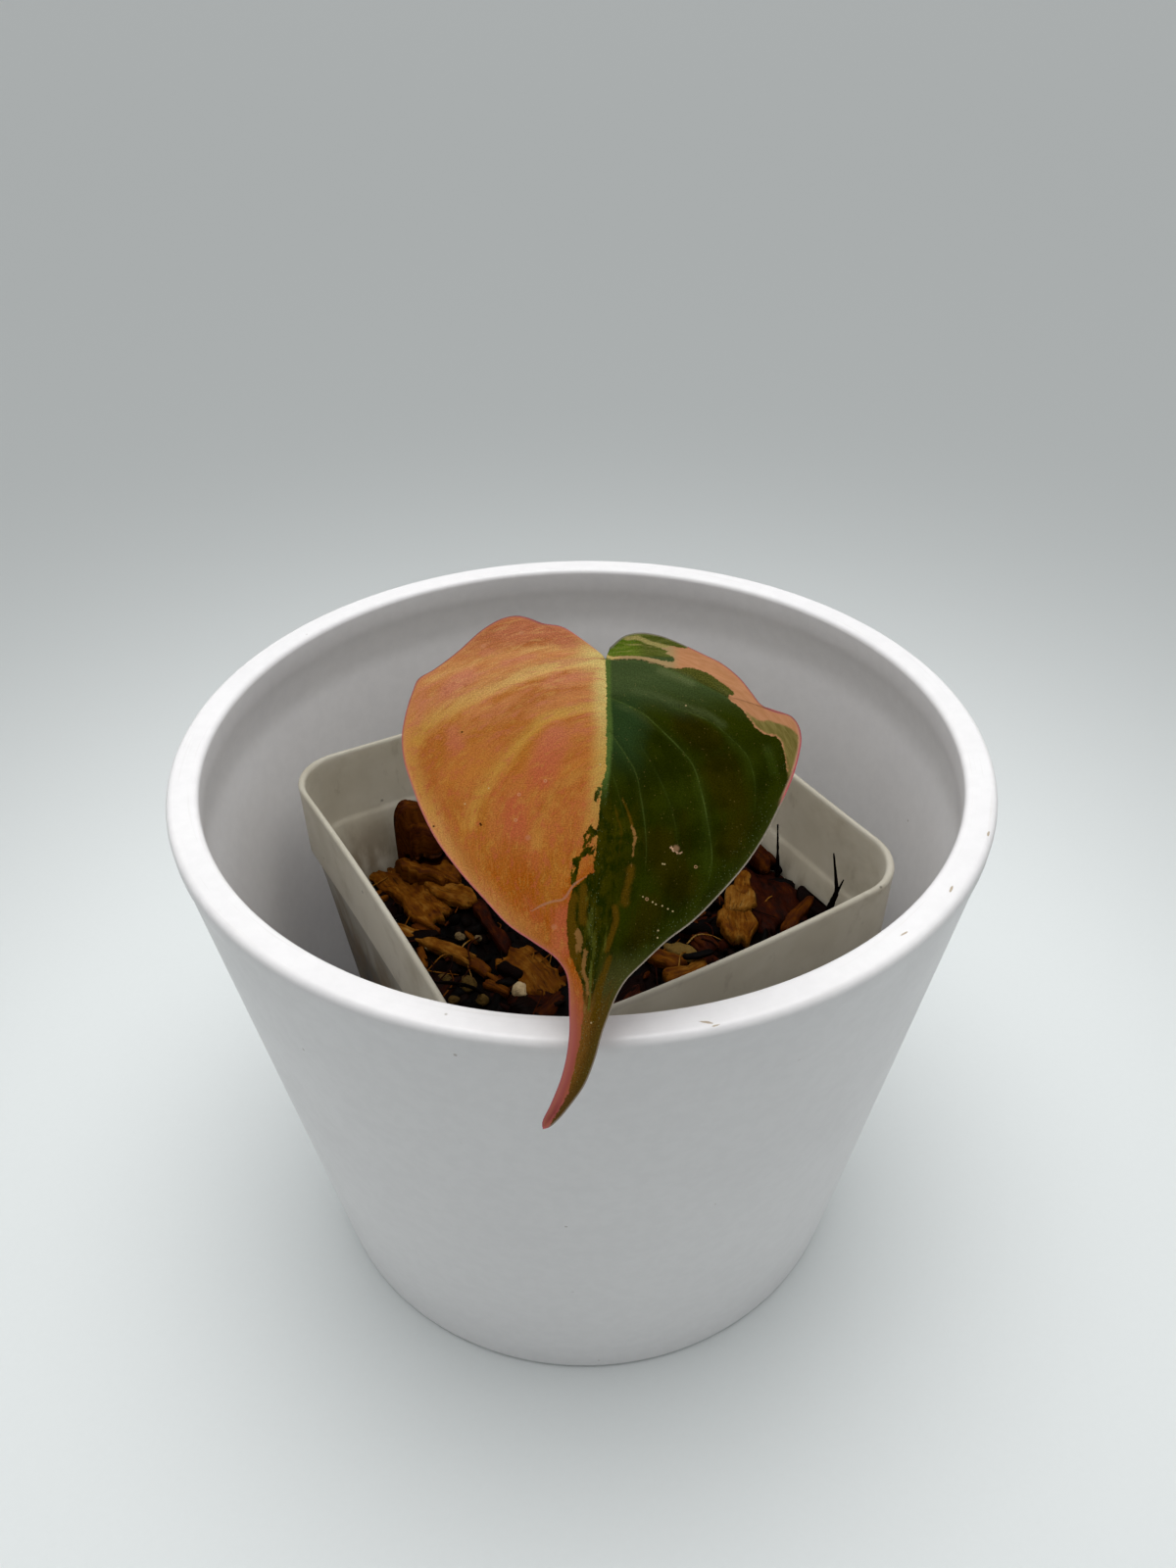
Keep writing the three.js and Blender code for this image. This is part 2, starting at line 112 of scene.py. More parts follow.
class Draws:
    """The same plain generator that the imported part's chips are placed by."""

    def __init__(self, seed):
        self.state = seed

    def one(self):
        self.state = (self.state * 1664525 + 1013904223) % 4294967296
        return self.state / 4294967296

    def between(self, low, high):
        return low + (high - low) * self.one()

    def spot(self, reach):
        """A flat place, at most this far from the middle each way."""
        return self.between(-reach, reach), self.between(-reach, reach)


def lattice(cell, seed):
    mixed = cell[:, 0] * 374761393 + cell[:, 1] * 668265263 + cell[:, 2] * 1440662683 + seed * 97463
    mixed &= 0xFFFFFFFF
    mixed = ((mixed ^ (mixed >> 13)) * 1274126177) & 0xFFFFFFFF
    return ((mixed ^ (mixed >> 16)) & 0xFFFF) / 32767.5 - 1


def soft_noise(points, size, seed=0):
    """Smooth noise from -1 to 1 with features of this size, at an array of points."""
    scaled = np.asarray(points, float) / size
    cell = np.floor(scaled).astype(np.int64)
    part = scaled - cell
    part = part * part * (3 - 2 * part)
    total = np.zeros(len(scaled))
    for corner in np.ndindex(2, 2, 2):
        step = np.array(corner)
        weight = np.prod(np.where(step == 1, part, 1 - part), axis=1)
        total += weight * lattice(cell + step, seed)
    return total


def layered_noise(points, size, layers, seed=0):
    total = np.zeros(len(points))
    for layer in range(layers):
        total += soft_noise(points, size / 2**layer, seed + layer) / 2**layer
    return total


def curve_samples(control, per_span=24):
    """Centripetal Catmull-Rom curve through the control points."""
    points = np.array(control, float)
    ends = [2 * points[0] - points[1], 2 * points[-1] - points[-2]]
    padded = np.vstack([ends[0], points, ends[1]])
    steps = np.linspace(0, 1, per_span, endpoint=False)[:, None]
    out = []
    for p0, p1, p2, p3 in zip(padded, padded[1:], padded[2:], padded[3:]):
        d0, d1, d2 = (np.linalg.norm(b - a) ** 0.5 for a, b in ((p0, p1), (p1, p2), (p2, p3)))
        t1 = d1 * ((p1 - p0) / d0 - (p2 - p0) / (d0 + d1) + (p2 - p1) / d1)
        t2 = d1 * ((p2 - p1) / d1 - (p3 - p1) / (d1 + d2) + (p3 - p2) / d2)
        cubic = 2 * p1 - 2 * p2 + t1 + t2
        square = 3 * p2 - 3 * p1 - 2 * t1 - t2
        out.append(p1 + t1 * steps + square * steps**2 + cubic * steps**3)
    return np.vstack([*out, points[-1:]])


def at_shares(control, shares):
    """Points at these shares of the length of the curve through the control points."""
    samples = curve_samples(control)
    reach = np.concatenate([[0], np.cumsum(np.linalg.norm(np.diff(samples, axis=0), axis=1))])
    wanted = np.asarray(shares) * reach[-1]
    return np.stack([np.interp(wanted, reach, column) for column in samples.T], axis=-1)


def distance_to(points, line):
    """Distance from flat points to a polyline."""
    best = np.full(len(points), 1e9)
    for a, b in zip(line[:-1], line[1:]):
        run = b - a
        share = np.clip(((points - a) @ run) / max(run @ run, 1e-12), 0, 1)
        best = np.minimum(best, np.hypot(*(points - a - share[:, None] * run).T))
    return best


def inside_distance(points, polygon):
    """Distance to a closed outline, positive inside it."""
    closed = np.vstack([polygon, polygon[:1]])
    x, y = points.T
    inside = np.zeros(len(points), bool)
    for (x0, y0), (x1, y1) in zip(closed[:-1], closed[1:]):
        if y0 == y1:
            continue
        crosses = (y0 > y) != (y1 > y)
        inside ^= crosses & (x < (x1 - x0) * (y - y0) / (y1 - y0) + x0)
    return np.where(inside, 1, -1) * distance_to(points, closed)


def smooth_step(value, low, high):
    share = np.clip((value - low) / (high - low), 0, 1)
    return share * share * (3 - 2 * share)


# Meshes


def merge_points(points, triangles):
    """Joins points that coincide. Returns the points kept, the triangles left, and which those are."""
    keys = np.round(points / MERGE_GRID).astype(np.int64)
    _, first, where = np.unique(keys, axis=0, return_index=True, return_inverse=True)
    faces = where.ravel()[np.asarray(triangles)]
    a, b, c = faces.T
    left = (a != b) & (b != c) & (c != a)
    return first, faces[left], left


def mesh_piece(name, points, faces, materials, nodes, fields=None, slots=None):
    """A smooth shaded piece from millimetre points. fields are named values at its points."""
    mesh = bpy.data.meshes.new(name)
    mesh.from_pydata((points * MM).tolist(), [], [list(map(int, face)) for face in faces])
    mesh.update()
    mesh.shade_smooth()
    for key, values in (fields or {}).items():
        values = np.asarray(values, np.float32)
        kind, entry = ("FLOAT", "value") if values.ndim == 1 else ("FLOAT_VECTOR", "vector")
        mesh.attributes.new(key, kind, "POINT").data.foreach_set(entry, values.ravel())
    for material in materials:
        mesh.materials.append(material)
    if slots is not None:
        mesh.polygons.foreach_set("material_index", np.asarray(slots, np.int32))
    piece = bpy.data.objects.new(name, mesh)
    scene.collection.objects.link(piece)
    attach(piece, BODY)
    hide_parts(*nodes)
    return piece


def ring_faces(rings, count, capped=False):
    """Quads between rings of count points each, and both end faces if they are wanted."""
    faces = []
    last = (rings - 1) * count
    for low in range(0, last, count):
        high = low + count
        for i in range(count):
            j = (i + 1) % count
            faces.append((low + i, low + j, high + j, high + i))
    if capped:
        faces += [tuple(reversed(range(count))), tuple(range(last, last + count))]
    return faces


def tube(path, radii, sides, seed=0, rough=0.0):
    """Points and faces of a closed tapering tube along a path."""
    path = np.asarray(path, float)
    normal = np.array([1.0, 0.0, 0.0])
    points = []
    for i, centre in enumerate(path):
        run = path[min(i + 1, len(path) - 1)] - path[max(i - 1, 0)]
        run /= np.linalg.norm(run)
        normal = normal - run * (normal @ run)
        normal /= np.linalg.norm(normal)
        side = np.cross(run, normal)
        for angle in 2 * math.pi * np.arange(sides) / sides:
            points.append(centre + radii[i] * (math.cos(angle) * normal + math.sin(angle) * side))
    points = np.array(points)
    if rough:
        centres = np.repeat(path, sides, axis=0)
        points += (points - centres) * (rough * soft_noise(points, 1.2, seed))[:, None]
    return points, ring_faces(len(path), sides, capped=True)


class Pile:
    """Collects many small bodies, with a tone and their own grain, for one mesh."""

    def __init__(self):
        self.points, self.faces, self.tones, self.grains = [], [], [], []
        self.count = 0

    def add(self, points, faces, tone, grain):
        self.points.append(points)
        self.faces.extend(tuple(i + self.count for i in face) for face in faces)
        self.tones.append(np.full(len(points), float(tone)))
        self.grains.append(grain)
        self.count += len(points)

    def piece(self, name, material):
        fields = {"tone": np.concatenate(self.tones), "grain": np.vstack(self.grains)}
        mesh_piece(
            name, np.vstack(self.points), self.faces, [material], ["potting_mix"], fields)


# Materials


class Value:
    """A node's output. Numbers among them add, subtract and multiply like plain ones."""

    def __init__(self, paint, socket):
        self.paint = paint
        self.socket = socket

    def __add__(self, other):
        return self.paint.math("ADD", self, other)

    def __sub__(self, number):
        return self + -number

    def __mul__(self, other):
        return self.paint.math("MULTIPLY", self, other)

    def __abs__(self):
        return self.paint.math("ABSOLUTE", self)

    def ramp(self, low, high, start=0, end=1):
        """start where the value is under low, end where it is over high, smooth between."""
        return self.paint.node("ShaderNodeMapRange", {
            "Value": self, "From Min": low, "From Max": high, "To Min": start, "To Max": end},
            interpolation_type="SMOOTHSTEP")


class Paint:
    """A material and short ways to add its nodes. An input is a number, a colour or a Value."""

    def __init__(self, name):
        self.material = bpy.data.materials.new(name)
        self.material.use_nodes = True
        self.tree = self.material.node_tree
        self.shader = self.tree.nodes["Principled BSDF"]

    def put(self, socket, value):
        if isinstance(value, Value):
            self.tree.links.new(value.socket, socket)
        elif isinstance(value, tuple) and socket.type == "RGBA":
            socket.default_value = (*value, 1)
        else:
            socket.default_value = value

    def node(self, kind, inputs, output=0, **settings):
        made = self.tree.nodes.new(kind)
        for key, value in settings.items():
            setattr(made, key, value)
        for key, value in inputs.items():
            self.put(made.inputs[key], value)
        return Value(self, made.outputs[output])

    def field(self, name):
        return self.node("ShaderNodeAttribute", {}, "Fac", attribute_name=name)

    def vector_field(self, name):
        return self.node("ShaderNodeAttribute", {}, "Vector", attribute_name=name)

    def place(self):
        """Position in metres in the part's frame."""
        return self.node("ShaderNodeTexCoord", {}, "Object")

    def axes(self, vector):
        split = self.node("ShaderNodeSeparateXYZ", {0: vector}).socket.node
        return [Value(self, output) for output in split.outputs]

    def combine(self, x, y, z):
        return self.node("ShaderNodeCombineXYZ", {0: x, 1: y, 2: z})

    def math(self, operation, a, b=0.0):
        return self.node("ShaderNodeMath", {0: a, 1: b}, operation=operation)

    def stretch(self, vector, scale):
        return self.node("ShaderNodeVectorMath", {0: vector, 1: scale}, operation="MULTIPLY")

    def measure(self, operation, a, b=(0, 0, 0)):
        """A number from vectors: their DISTANCE or DOT_PRODUCT, or the first one's LENGTH."""
        return self.node("ShaderNodeVectorMath", {0: a, 1: b}, "Value", operation=operation)

    def noise(self, vector, scale, detail=3, roughness=0.55):
        return self.node("ShaderNodeTexNoise", {
            "Vector": vector, "Scale": scale, "Detail": detail, "Roughness": roughness}, "Fac")

    def cells(self, vector, scale):
        """Distance to the nearest of many scattered points."""
        return self.node("ShaderNodeTexVoronoi", {"Vector": vector, "Scale": scale}, "Distance")

    def mix(self, a, b, share, *ramp, blend="MIX"):
        """From colour a to colour b by share, or by the ramp of share between these limits."""
        share = share.ramp(*ramp) if ramp else share
        return self.node(
            "ShaderNodeMix", {0: share, 6: a, 7: b}, 2, data_type="RGBA", blend_type=blend)

    def coats(self, colour, rows):
        """Lays tints over a colour, each row a tint, its share and the limits of its ramp if any."""
        for tint, share, *ramp in rows:
            colour = self.mix(colour, tint, share, *ramp)
        return colour

    def brighten(self, colour, factor):
        return self.mix(colour, self.combine(factor, factor, factor), 1.0, blend="MULTIPLY")

    def normal(self, height, depth_mm, strength):
        return self.node("ShaderNodeBump", {
            "Strength": strength, "Distance": depth_mm * MM, "Height": height})

    def finish(self, **values):
        for key, value in values.items():
            self.put(self.shader.inputs[key.replace("_", " ")], value)
        return self.material


# Floor


def make_floor():
    reach = 6000
    corners = [(-reach, -reach, 0), (reach, -reach, 0), (reach, reach, 0), (-reach, reach, 0)]
    mesh = bpy.data.meshes.new("floor")
    mesh.from_pydata([[v * MM for v in corner] for corner in corners], [], [(0, 1, 2, 3)])
    floor = bpy.data.objects.new("floor", mesh)
    scene.collection.objects.link(floor)
    paint = Paint("pale_floor")
    grain = paint.noise(paint.place(), 900, 2)
    colour = paint.mix((0.82, 0.855, 0.855), (0.84, 0.875, 0.875), grain)
    mesh.materials.append(paint.finish(Base_Color=colour, Roughness=0.75))


# Cover pot: turned about the upright axis

COVER_HEIGHT = 108.1
RIM_RADIUS = 70.0
LIP_INNER_RADIUS = 64.7
LIP_DEPTH = 4.6
WALL_TOP_RADIUS = 69.5
COVER_BASE_RADIUS = 54.2
COVER_WALL = 2.6
COVER_FLOOR = 3.0
COVER_SIDES = 240

# Scuffs on the lip: both ends in the part's frame and half width, and how deep all of them go
SCUFF_DEPTH = 1.5
LIP_SCUFFS = [
    ((14.8, -66.4), (16.6, -66.7), 0.2), ((16.6, -67.2), (17.6, -66.9), 0.14),
    ((44.6, -50.7), (45.7, -49.9), 0.16), ((53.8, -41.6), (54.5, -40.2), 0.18),
    ((62.9, -28.5), (63.5, -27.3), 0.18)]


def cover_wall(z):
    shoulder = COVER_HEIGHT - LIP_DEPTH
    return COVER_BASE_RADIUS + (WALL_TOP_RADIUS - COVER_BASE_RADIUS) * z / shoulder


def rounded_corner(centre, radius, start, end, steps=7):
    """Points of a round corner, with its angles in degrees."""
    angles = np.radians(np.linspace(start, end, steps))
    return [(centre[0] + radius * math.cos(a), centre[1] + radius * math.sin(a)) for a in angles]


def cover_profile():
    top = COVER_HEIGHT
    foot, edge, bead, heel = 1.6, 1.25, 1.1, 3.2
    inner_floor = cover_wall(COVER_FLOOR) - COVER_WALL
    profile = [(0, 0), (COVER_BASE_RADIUS - foot - 6, 0)]
    profile += rounded_corner((COVER_BASE_RADIUS - foot + 0.2, foot), foot, -90, 0)
    profile += [(cover_wall(z), z) for z in np.linspace(6, top - LIP_DEPTH - 1, 26)]
    profile += [(WALL_TOP_RADIUS, top - LIP_DEPTH), (RIM_RADIUS - 0.12, top - LIP_DEPTH + 1.5)]
    profile += rounded_corner((RIM_RADIUS - edge, top - edge), edge, 0, 90, steps=9)
    profile += rounded_corner((LIP_INNER_RADIUS + bead, top - bead), bead, 90, 180, steps=9)
    profile += [
        (LIP_INNER_RADIUS, top - LIP_DEPTH + 0.6),
        (LIP_INNER_RADIUS + 0.15, top - LIP_DEPTH - 1)]
    profile += [(cover_wall(z) - COVER_WALL, z) for z in np.linspace(top - 2.4 * LIP_DEPTH, 8, 24)]
    profile += rounded_corner((inner_floor - heel + 0.4, COVER_FLOOR + heel), heel, 0, -90)
    profile += [(inner_floor / 2, COVER_FLOOR), (0, COVER_FLOOR)]
    return profile


def make_cover_pot():
    profile = cover_profile()
    angles = 2 * math.pi * np.arange(COVER_SIDES) / COVER_SIDES
    points = np.vstack([
        np.stack([radius * np.cos(angles), radius * np.sin(angles), np.full(COVER_SIDES, z)], axis=-1)
        for radius, z in profile])
    quads = ring_faces(len(profile), COVER_SIDES)
    triangles = [(a, b, c) for a, b, c, _ in quads] + [(a, c, d) for a, _, c, d in quads]
    kept, triangles, _ = merge_points(points, triangles)
    mesh_piece("cover_pot", points[kept], triangles, [white_plastic()], ["cachepot"])


def white_plastic():
    """Matt white with faint handling clouds, tiny specks, and a few scuffs on the lip."""
    paint = Paint("matt_white_plastic")
    place = paint.place()
    height = paint.axes(place)[2]
    clouds = paint.noise(place, 22, 4, 0.62)
    mottle = paint.noise(place, 420, 3, 0.6)
    specks = paint.cells(place, 150).ramp(0.030, 0.055, 1, 0)
    sparse = paint.noise(place, 60, 1).ramp(0.54, 0.60)
    level = paint.stretch(place, (1, 1, 0))
    round_it = paint.combine(paint.measure("LENGTH", level), height * 0.3, 0)
    wander = paint.stretch(place, (0.03, 0.03, 0))
    round_it = paint.node("ShaderNodeVectorMath", {0: round_it, 1: wander}, operation="ADD")
    lines = paint.noise(round_it, 1500, 3, 0.6).ramp(0.56, 0.72)
    on_lip = height.ramp((COVER_HEIGHT - 2.6) * MM, (COVER_HEIGHT - 1.1) * MM)
    colour = paint.mix((0.776, 0.766, 0.772), (0.796, 0.787, 0.791), clouds, 0.38, 0.62)
    colour = paint.brighten(colour, mottle.ramp(0.35, 0.65, 0.982, 1.010))
    colour = paint.coats(colour, [
        ((0.30, 0.26, 0.21), specks * sparse * 0.65),
        ((0.62, 0.60, 0.57), lines * on_lip * 0.30)])
    broken = paint.noise(place, 900, 3, 0.6) - 0.5
    for start, end, half in LIP_SCUFFS:
        middle = ((start[0] + end[0]) / 2 * MM, (start[1] + end[1]) / 2 * MM, COVER_HEIGHT * MM)
        offset = paint.node("ShaderNodeVectorMath", {0: place, 1: middle}, operation="SUBTRACT")
        run = math.atan2(end[1] - start[1], end[0] - start[0])
        along, across = (math.cos(run), math.sin(run), 0), (-math.sin(run), math.cos(run), 0)
        reaches = ((along, math.dist(start, end) / 2 + half), (across, half), ((0, 0, 1), SCUFF_DEPTH))
        total = broken * 3
        for axis, reach in reaches:
            share = paint.measure("DOT_PRODUCT", offset, axis) * (1 / (reach * MM))
            total = total + share * share
        colour = paint.mix(colour, (0.330, 0.240, 0.130), total, 0.4, 1, 0.8, 0)
    return paint.finish(
        Base_Color=colour, Roughness=paint.noise(place, 90, 4).ramp(0.3, 0.7, 0.34, 0.44),
        Normal=paint.normal(paint.noise(place, 2600, 2), 0.012, 0.5), IOR=1.52)


# Nursery pot: drawn square in its own frame, then turned about the upright axis

POT_TURN = math.radians(-60.5)
POT_RIM_HEIGHT = 91.0
POT_RIM_HALF = 42.3
POT_BAND_DEPTH = 16.0
POT_SHOULDER_HALF = 41.0
POT_BASE_HALF = 33.0
POT_WALL = 1.1
POT_FLOOR = 1.2
POT_DRAIN_RADIUS = 3.5
DRAIN_SIDES = 32
POT_CORNER_SHARE = 0.23
POT_CORNER_STEPS = 12
POT_SIDE_STEPS = 22
POT_BOW = {"front_right": 1.9, "rear_right": -0.8, "rear_left": -0.6, "front_left": -0.9}
SEAT_GAP = 0.3
POT_FOOT = COVER_FLOOR + SEAT_GAP
POT_SHOULDER = POT_RIM_HEIGHT - POT_BAND_DEPTH
POT_INNER_FLOOR = POT_FOOT + POT_FLOOR


def turned(points):
    """From the pot's own frame to the part's."""
    c, s = math.cos(POT_TURN), math.sin(POT_TURN)
    x, y, z = np.asarray(points, float).T
    return np.stack([c * x - s * y, s * x + c * y, z], axis=-1)


def square_ring(half, z):
    radius = half * POT_CORNER_SHARE
    straight = half - radius
    flat = []
    for corner in range(4):
        out = np.array([math.cos(corner * math.pi / 2), math.sin(corner * math.pi / 2)])
        along = np.array([-out[1], out[0]])
        for i in range(1, POT_SIDE_STEPS):
            flat.append(out * half + along * straight * (2 * i / POT_SIDE_STEPS - 1))
        for angle in np.linspace(0, math.pi / 2, POT_CORNER_STEPS + 1):
            flat.append(
                out * (straight + radius * math.cos(angle))
                + along * (straight + radius * math.sin(angle)))
    x, y = np.array(flat).T
    grow = z / POT_RIM_HEIGHT / half
    bow_x = np.where(x > 0, POT_BOW["front_right"], -POT_BOW["rear_left"])
    bow_y = np.where(y > 0, POT_BOW["rear_right"], -POT_BOW["front_left"])
    return np.stack([
        x + grow * bow_x * abs(x) * (1 - (y / half) ** 2),
        y + grow * bow_y * abs(y) * (1 - (x / half) ** 2),
        np.full(len(x), float(z))], axis=-1)


def inner_half(z):
    share = (z - POT_INNER_FLOOR) / (POT_SHOULDER - POT_INNER_FLOOR)
    return POT_BASE_HALF + (POT_SHOULDER_HALF - POT_BASE_HALF) * share - POT_WALL


def nursery_profile():
    half, shoulder, base, wall = POT_RIM_HALF, POT_SHOULDER_HALF, POT_BASE_HALF, POT_WALL
    outer_shoulder = [
        (shoulder - 0.25, POT_SHOULDER - 3), (shoulder, POT_SHOULDER - 0.7),
        (shoulder + 0.25, POT_SHOULDER - 0.1), (half - 0.55, POT_SHOULDER + 0.5),
        (half - 0.3, POT_SHOULDER + 1.2)]
    lip = [
        (half - 0.06, POT_RIM_HEIGHT - 1.3), (half, POT_RIM_HEIGHT - 0.6),
        (half - 0.12, POT_RIM_HEIGHT - 0.15), (half - 0.4, POT_RIM_HEIGHT),
        (half - wall + 0.4, POT_RIM_HEIGHT), (half - wall + 0.12, POT_RIM_HEIGHT - 0.15),
        (half - wall, POT_RIM_HEIGHT - 0.6), (half - wall - 0.06, POT_RIM_HEIGHT - 1.3)]
    foot = [(base - 12, POT_FOOT), (base - 1.4, POT_FOOT), (base - 0.4, POT_FOOT + 0.35)]
    heights = np.linspace(POT_FOOT + 1.2, POT_SHOULDER - 6, 12)
    outer = [(base + (shoulder - base) * (z - POT_FOOT) / (POT_SHOULDER - POT_FOOT), z) for z in heights]
    inner_shoulder = []
    for rise in (8, 5, 3, 1.6, 1.1, 0.7, 0.3, -0.2, -1, -2.5, -4):
        z = POT_SHOULDER + rise
        step = 0.28 * smooth_step(rise, 0, 1.4) + 0.72 * smooth_step(rise, -4, 9)
        straight = min(inner_half(z), shoulder - wall)
        inner_shoulder.append((straight + (half - 0.2 - shoulder) * step, z))
    inner = [(inner_half(z), z) for z in reversed(np.linspace(POT_INNER_FLOOR + 1, POT_SHOULDER - 6, 12))]
    floor = [
        (inner_half(POT_INNER_FLOOR) - 1, POT_INNER_FLOOR),
        (inner_half(POT_INNER_FLOOR) - 12, POT_INNER_FLOOR)]
    return foot + outer + outer_shoulder + lip + inner_shoulder + inner + floor


def make_nursery_pot():
    rings = [square_ring(half, z) for half, z in nursery_profile()]
    faces = ring_faces(len(rings), len(rings[0]), capped=True)
    pot = mesh_piece(
        "nursery_pot_wall", turned(np.vstack(rings)), faces, [milky_plastic()],
        ["nursery_pot"])
    drill_drain_holes(pot)


def drill_drain_holes(pot):
    """Nine drain holes through the floor, cut by one applied boolean each."""
    reach = POT_BASE_HALF - 3 * POT_DRAIN_RADIUS
    for x, y in [(x, y) for x in (-reach, 0, reach) for y in (-reach, 0, reach)]:
        ring = [
            (x + POT_DRAIN_RADIUS * math.cos(a), y + POT_DRAIN_RADIUS * math.sin(a))
            for a in 2 * math.pi * np.arange(DRAIN_SIDES) / DRAIN_SIDES]
        ends = [(a, b, z) for z in (POT_FOOT - 2, POT_INNER_FLOOR + 2) for a, b in ring]
        mesh = bpy.data.meshes.new("drill")
        faces = ring_faces(2, DRAIN_SIDES, capped=True)
        mesh.from_pydata((turned(ends) * MM).tolist(), [], faces)
        drill = bpy.data.objects.new("drill", mesh)
        scene.collection.objects.link(drill)
        cut = pot.modifiers.new("drain", "BOOLEAN")
        cut.operation, cut.solver, cut.object = "DIFFERENCE", "EXACT", drill
        bpy.context.view_layer.update()
        drilled = pot.evaluated_get(bpy.context.evaluated_depsgraph_get())
        cut_mesh = bpy.data.meshes.new_from_object(drilled)
        pot.modifiers.clear()
        pot.data = cut_mesh
        bpy.data.objects.remove(drill)


def milky_plastic():
    """Milky grey, with painted shade outside under the rim band, darkest where the mix lies behind the
    wall, and painted shade on the top of the rim.
    """
    paint = Paint("milky_pot_plastic")
    place = paint.place()
    height = paint.axes(place)[2]
    facing = paint.node("ShaderNodeTexCoord", {}, "Normal")
    outward = paint.measure("DOT_PRODUCT", facing, paint.stretch(place, (1, 1, 0)))
    outside = outward.ramp(-0.004, 0.004)
    clouds = paint.noise(place, 45, 5)
    # painted shade: the outside of the wall under the rim band is darkened for the shade between the pots
    shade_below_band = height.ramp((POT_SHOULDER - 1.2) * MM, (POT_SHOULDER + 0.2) * MM, 0.62, 0)
    # painted shade: the top of the rim is darkened against the light that falls on it
    rim_top_shade = height.ramp((POT_RIM_HEIGHT - 1.1) * MM, (POT_RIM_HEIGHT - 0.1) * MM, 0, 0.4)
    # painted shade: darker still outside where the dark mix lies behind the translucent wall
    shade_behind_mix = (height + clouds * 0.006).ramp(0.060, 0.068, 0.75, 0)
    near_mix = (height + clouds * 0.012).ramp(0.070, 0.084, 0.75, 0)
    drips = paint.noise(paint.stretch(place, (1, 1, 0.35)), 120, 5, 0.6)
    smudges = paint.noise(paint.stretch(place, (1, 1, 1.4)), 60, 5, 0.62)
    streaks = paint.noise(paint.stretch(place, (1, 1, 0.5)), 230, 4, 0.65)
    specks = paint.cells(place, 230).ramp(0.06, 0.11, 0.9, 0)
    sparse = paint.noise(place, 95, 1).ramp(0.60, 0.66)
    colour = paint.mix((0.600, 0.550, 0.435), (0.720, 0.672, 0.560), clouds, 0.36, 0.64)
    colour = paint.coats(colour, [
        ((0.230, 0.220, 0.195), outside * shade_below_band),
        ((0.060, 0.055, 0.045), outside * shade_behind_mix),
        ((0.215, 0.150, 0.085), near_mix * drips.ramp(0.46, 0.64)),
        ((0.380, 0.320, 0.210), smudges, 0.50, 0.68, 0, 0.36),
        ((0.250, 0.190, 0.120), streaks, 0.60, 0.70, 0, 0.22),
        ((0.060, 0.040, 0.025), specks * sparse),
        ((0.300, 0.285, 0.240), rim_top_shade)])
    return paint.finish(
        Base_Color=colour, Roughness=paint.noise(place, 150, 4).ramp(0.3, 0.7, 0.48, 0.64),
        Normal=paint.normal(paint.noise(place, 700, 3), 0.03, 0.6), IOR=1.35,
        Transmission_Weight=0.22)


# Potting mix

MIX_LEVEL = 65.2
MIX_RISE_FRONT_RIGHT = 2.7
MIX_RISE_REAR_RIGHT = 3.0
MIX_HALF_REACH = 41.0
MIX_RELIEF = 1.1
MIX_CHIPS = 100
MIX_CHIP_REACH = 37.0
MIX_LUMP_SHARE = 0.18
MIX_STICK_SHARE = 0.2
MIX_SEED = 11
BED_GAP = 0.35
BED_DEPTH = 1.1
BED_LEVELS = 14
BED_RINGS = 62
# near black: dark peat, and painted shade in the gaps between the chips
BED_TONE = 0.03
WALL_GAP = 1.35
BARK_SQUARENESS = 4.5
NAMED_PITCH = 0.5
CHIP_PITCH = 0.8
CHIP_TONE_SEED = 29
CRUMB_SEED = 83
CRUMBS = 620
CRUMB_REACH = 39
CRUMB_SLIVER_SHARE = 0.5
CRUMB_WHITE_SHARE = 0.035
FIBRE_SEED = 57
FIBRES = 90
FIBRE_REACH = 34

BARK_COLOURS = [
    (0.00, (0.0006, 0.0003, 0.0002)), (0.18, (0.0045, 0.0009, 0.0003)),
    (0.34, (0.0210, 0.0030, 0.0004)), (0.50, (0.0520, 0.0125, 0.0004)),
    (0.66, (0.0950, 0.0290, 0.0010)), (0.84, (0.1600, 0.0660, 0.0080)),
    (1.00, (0.2300, 0.1300, 0.0360))]


def mix_height(u, w):
    ripple = np.sin(u * 0.41 + 1.3) * np.cos(w * 0.37) + 0.5 * np.sin(u * 0.9 - w * 0.7)
    slant = (MIX_RISE_FRONT_RIGHT * u + MIX_RISE_REAR_RIGHT * w) / MIX_HALF_REACH
    return MIX_LEVEL + slant + MIX_RELIEF * ripple / 1.5


def make_mix_bed():
    """The dark crumbs under and between the chips, which fill the pot, coloured near black partly as
    painted shade in the gaps.
    """
    walls = np.linspace(POT_INNER_FLOOR + 1.3, MIX_LEVEL - 6, BED_LEVELS)
    heights = [POT_INNER_FLOOR + SEAT_GAP, *walls]
    insets = [BED_GAP + 1] + [BED_GAP] * BED_LEVELS
    rings = [square_ring(inner_half(z) - inset, z) for z, inset in zip(heights, insets)]
    edge = square_ring(inner_half(MIX_LEVEL) - BED_GAP, MIX_LEVEL)
    for share in np.linspace(1, 0.02, BED_RINGS):
        ring = edge * share
        flat = ring * (1, 1, 0)
        crumbs = 0.9 * layered_noise(flat, size=3.1, layers=3, seed=5)
        crumbs += 0.35 * soft_noise(flat, size=0.8, seed=9)
        ring[:, 2] = mix_height(*ring[:, :2].T) - BED_DEPTH + crumbs
        rings.append(ring)
    points = turned(np.vstack(rings))
    fields = {"tone": np.full(len(points), BED_TONE), "grain": points}
    mesh_piece(
        "mix_bed", points, ring_faces(len(rings), len(edge), capped=True),
        [bark_material("dark_crumbs_and_shade")], ["potting_mix"], fields)


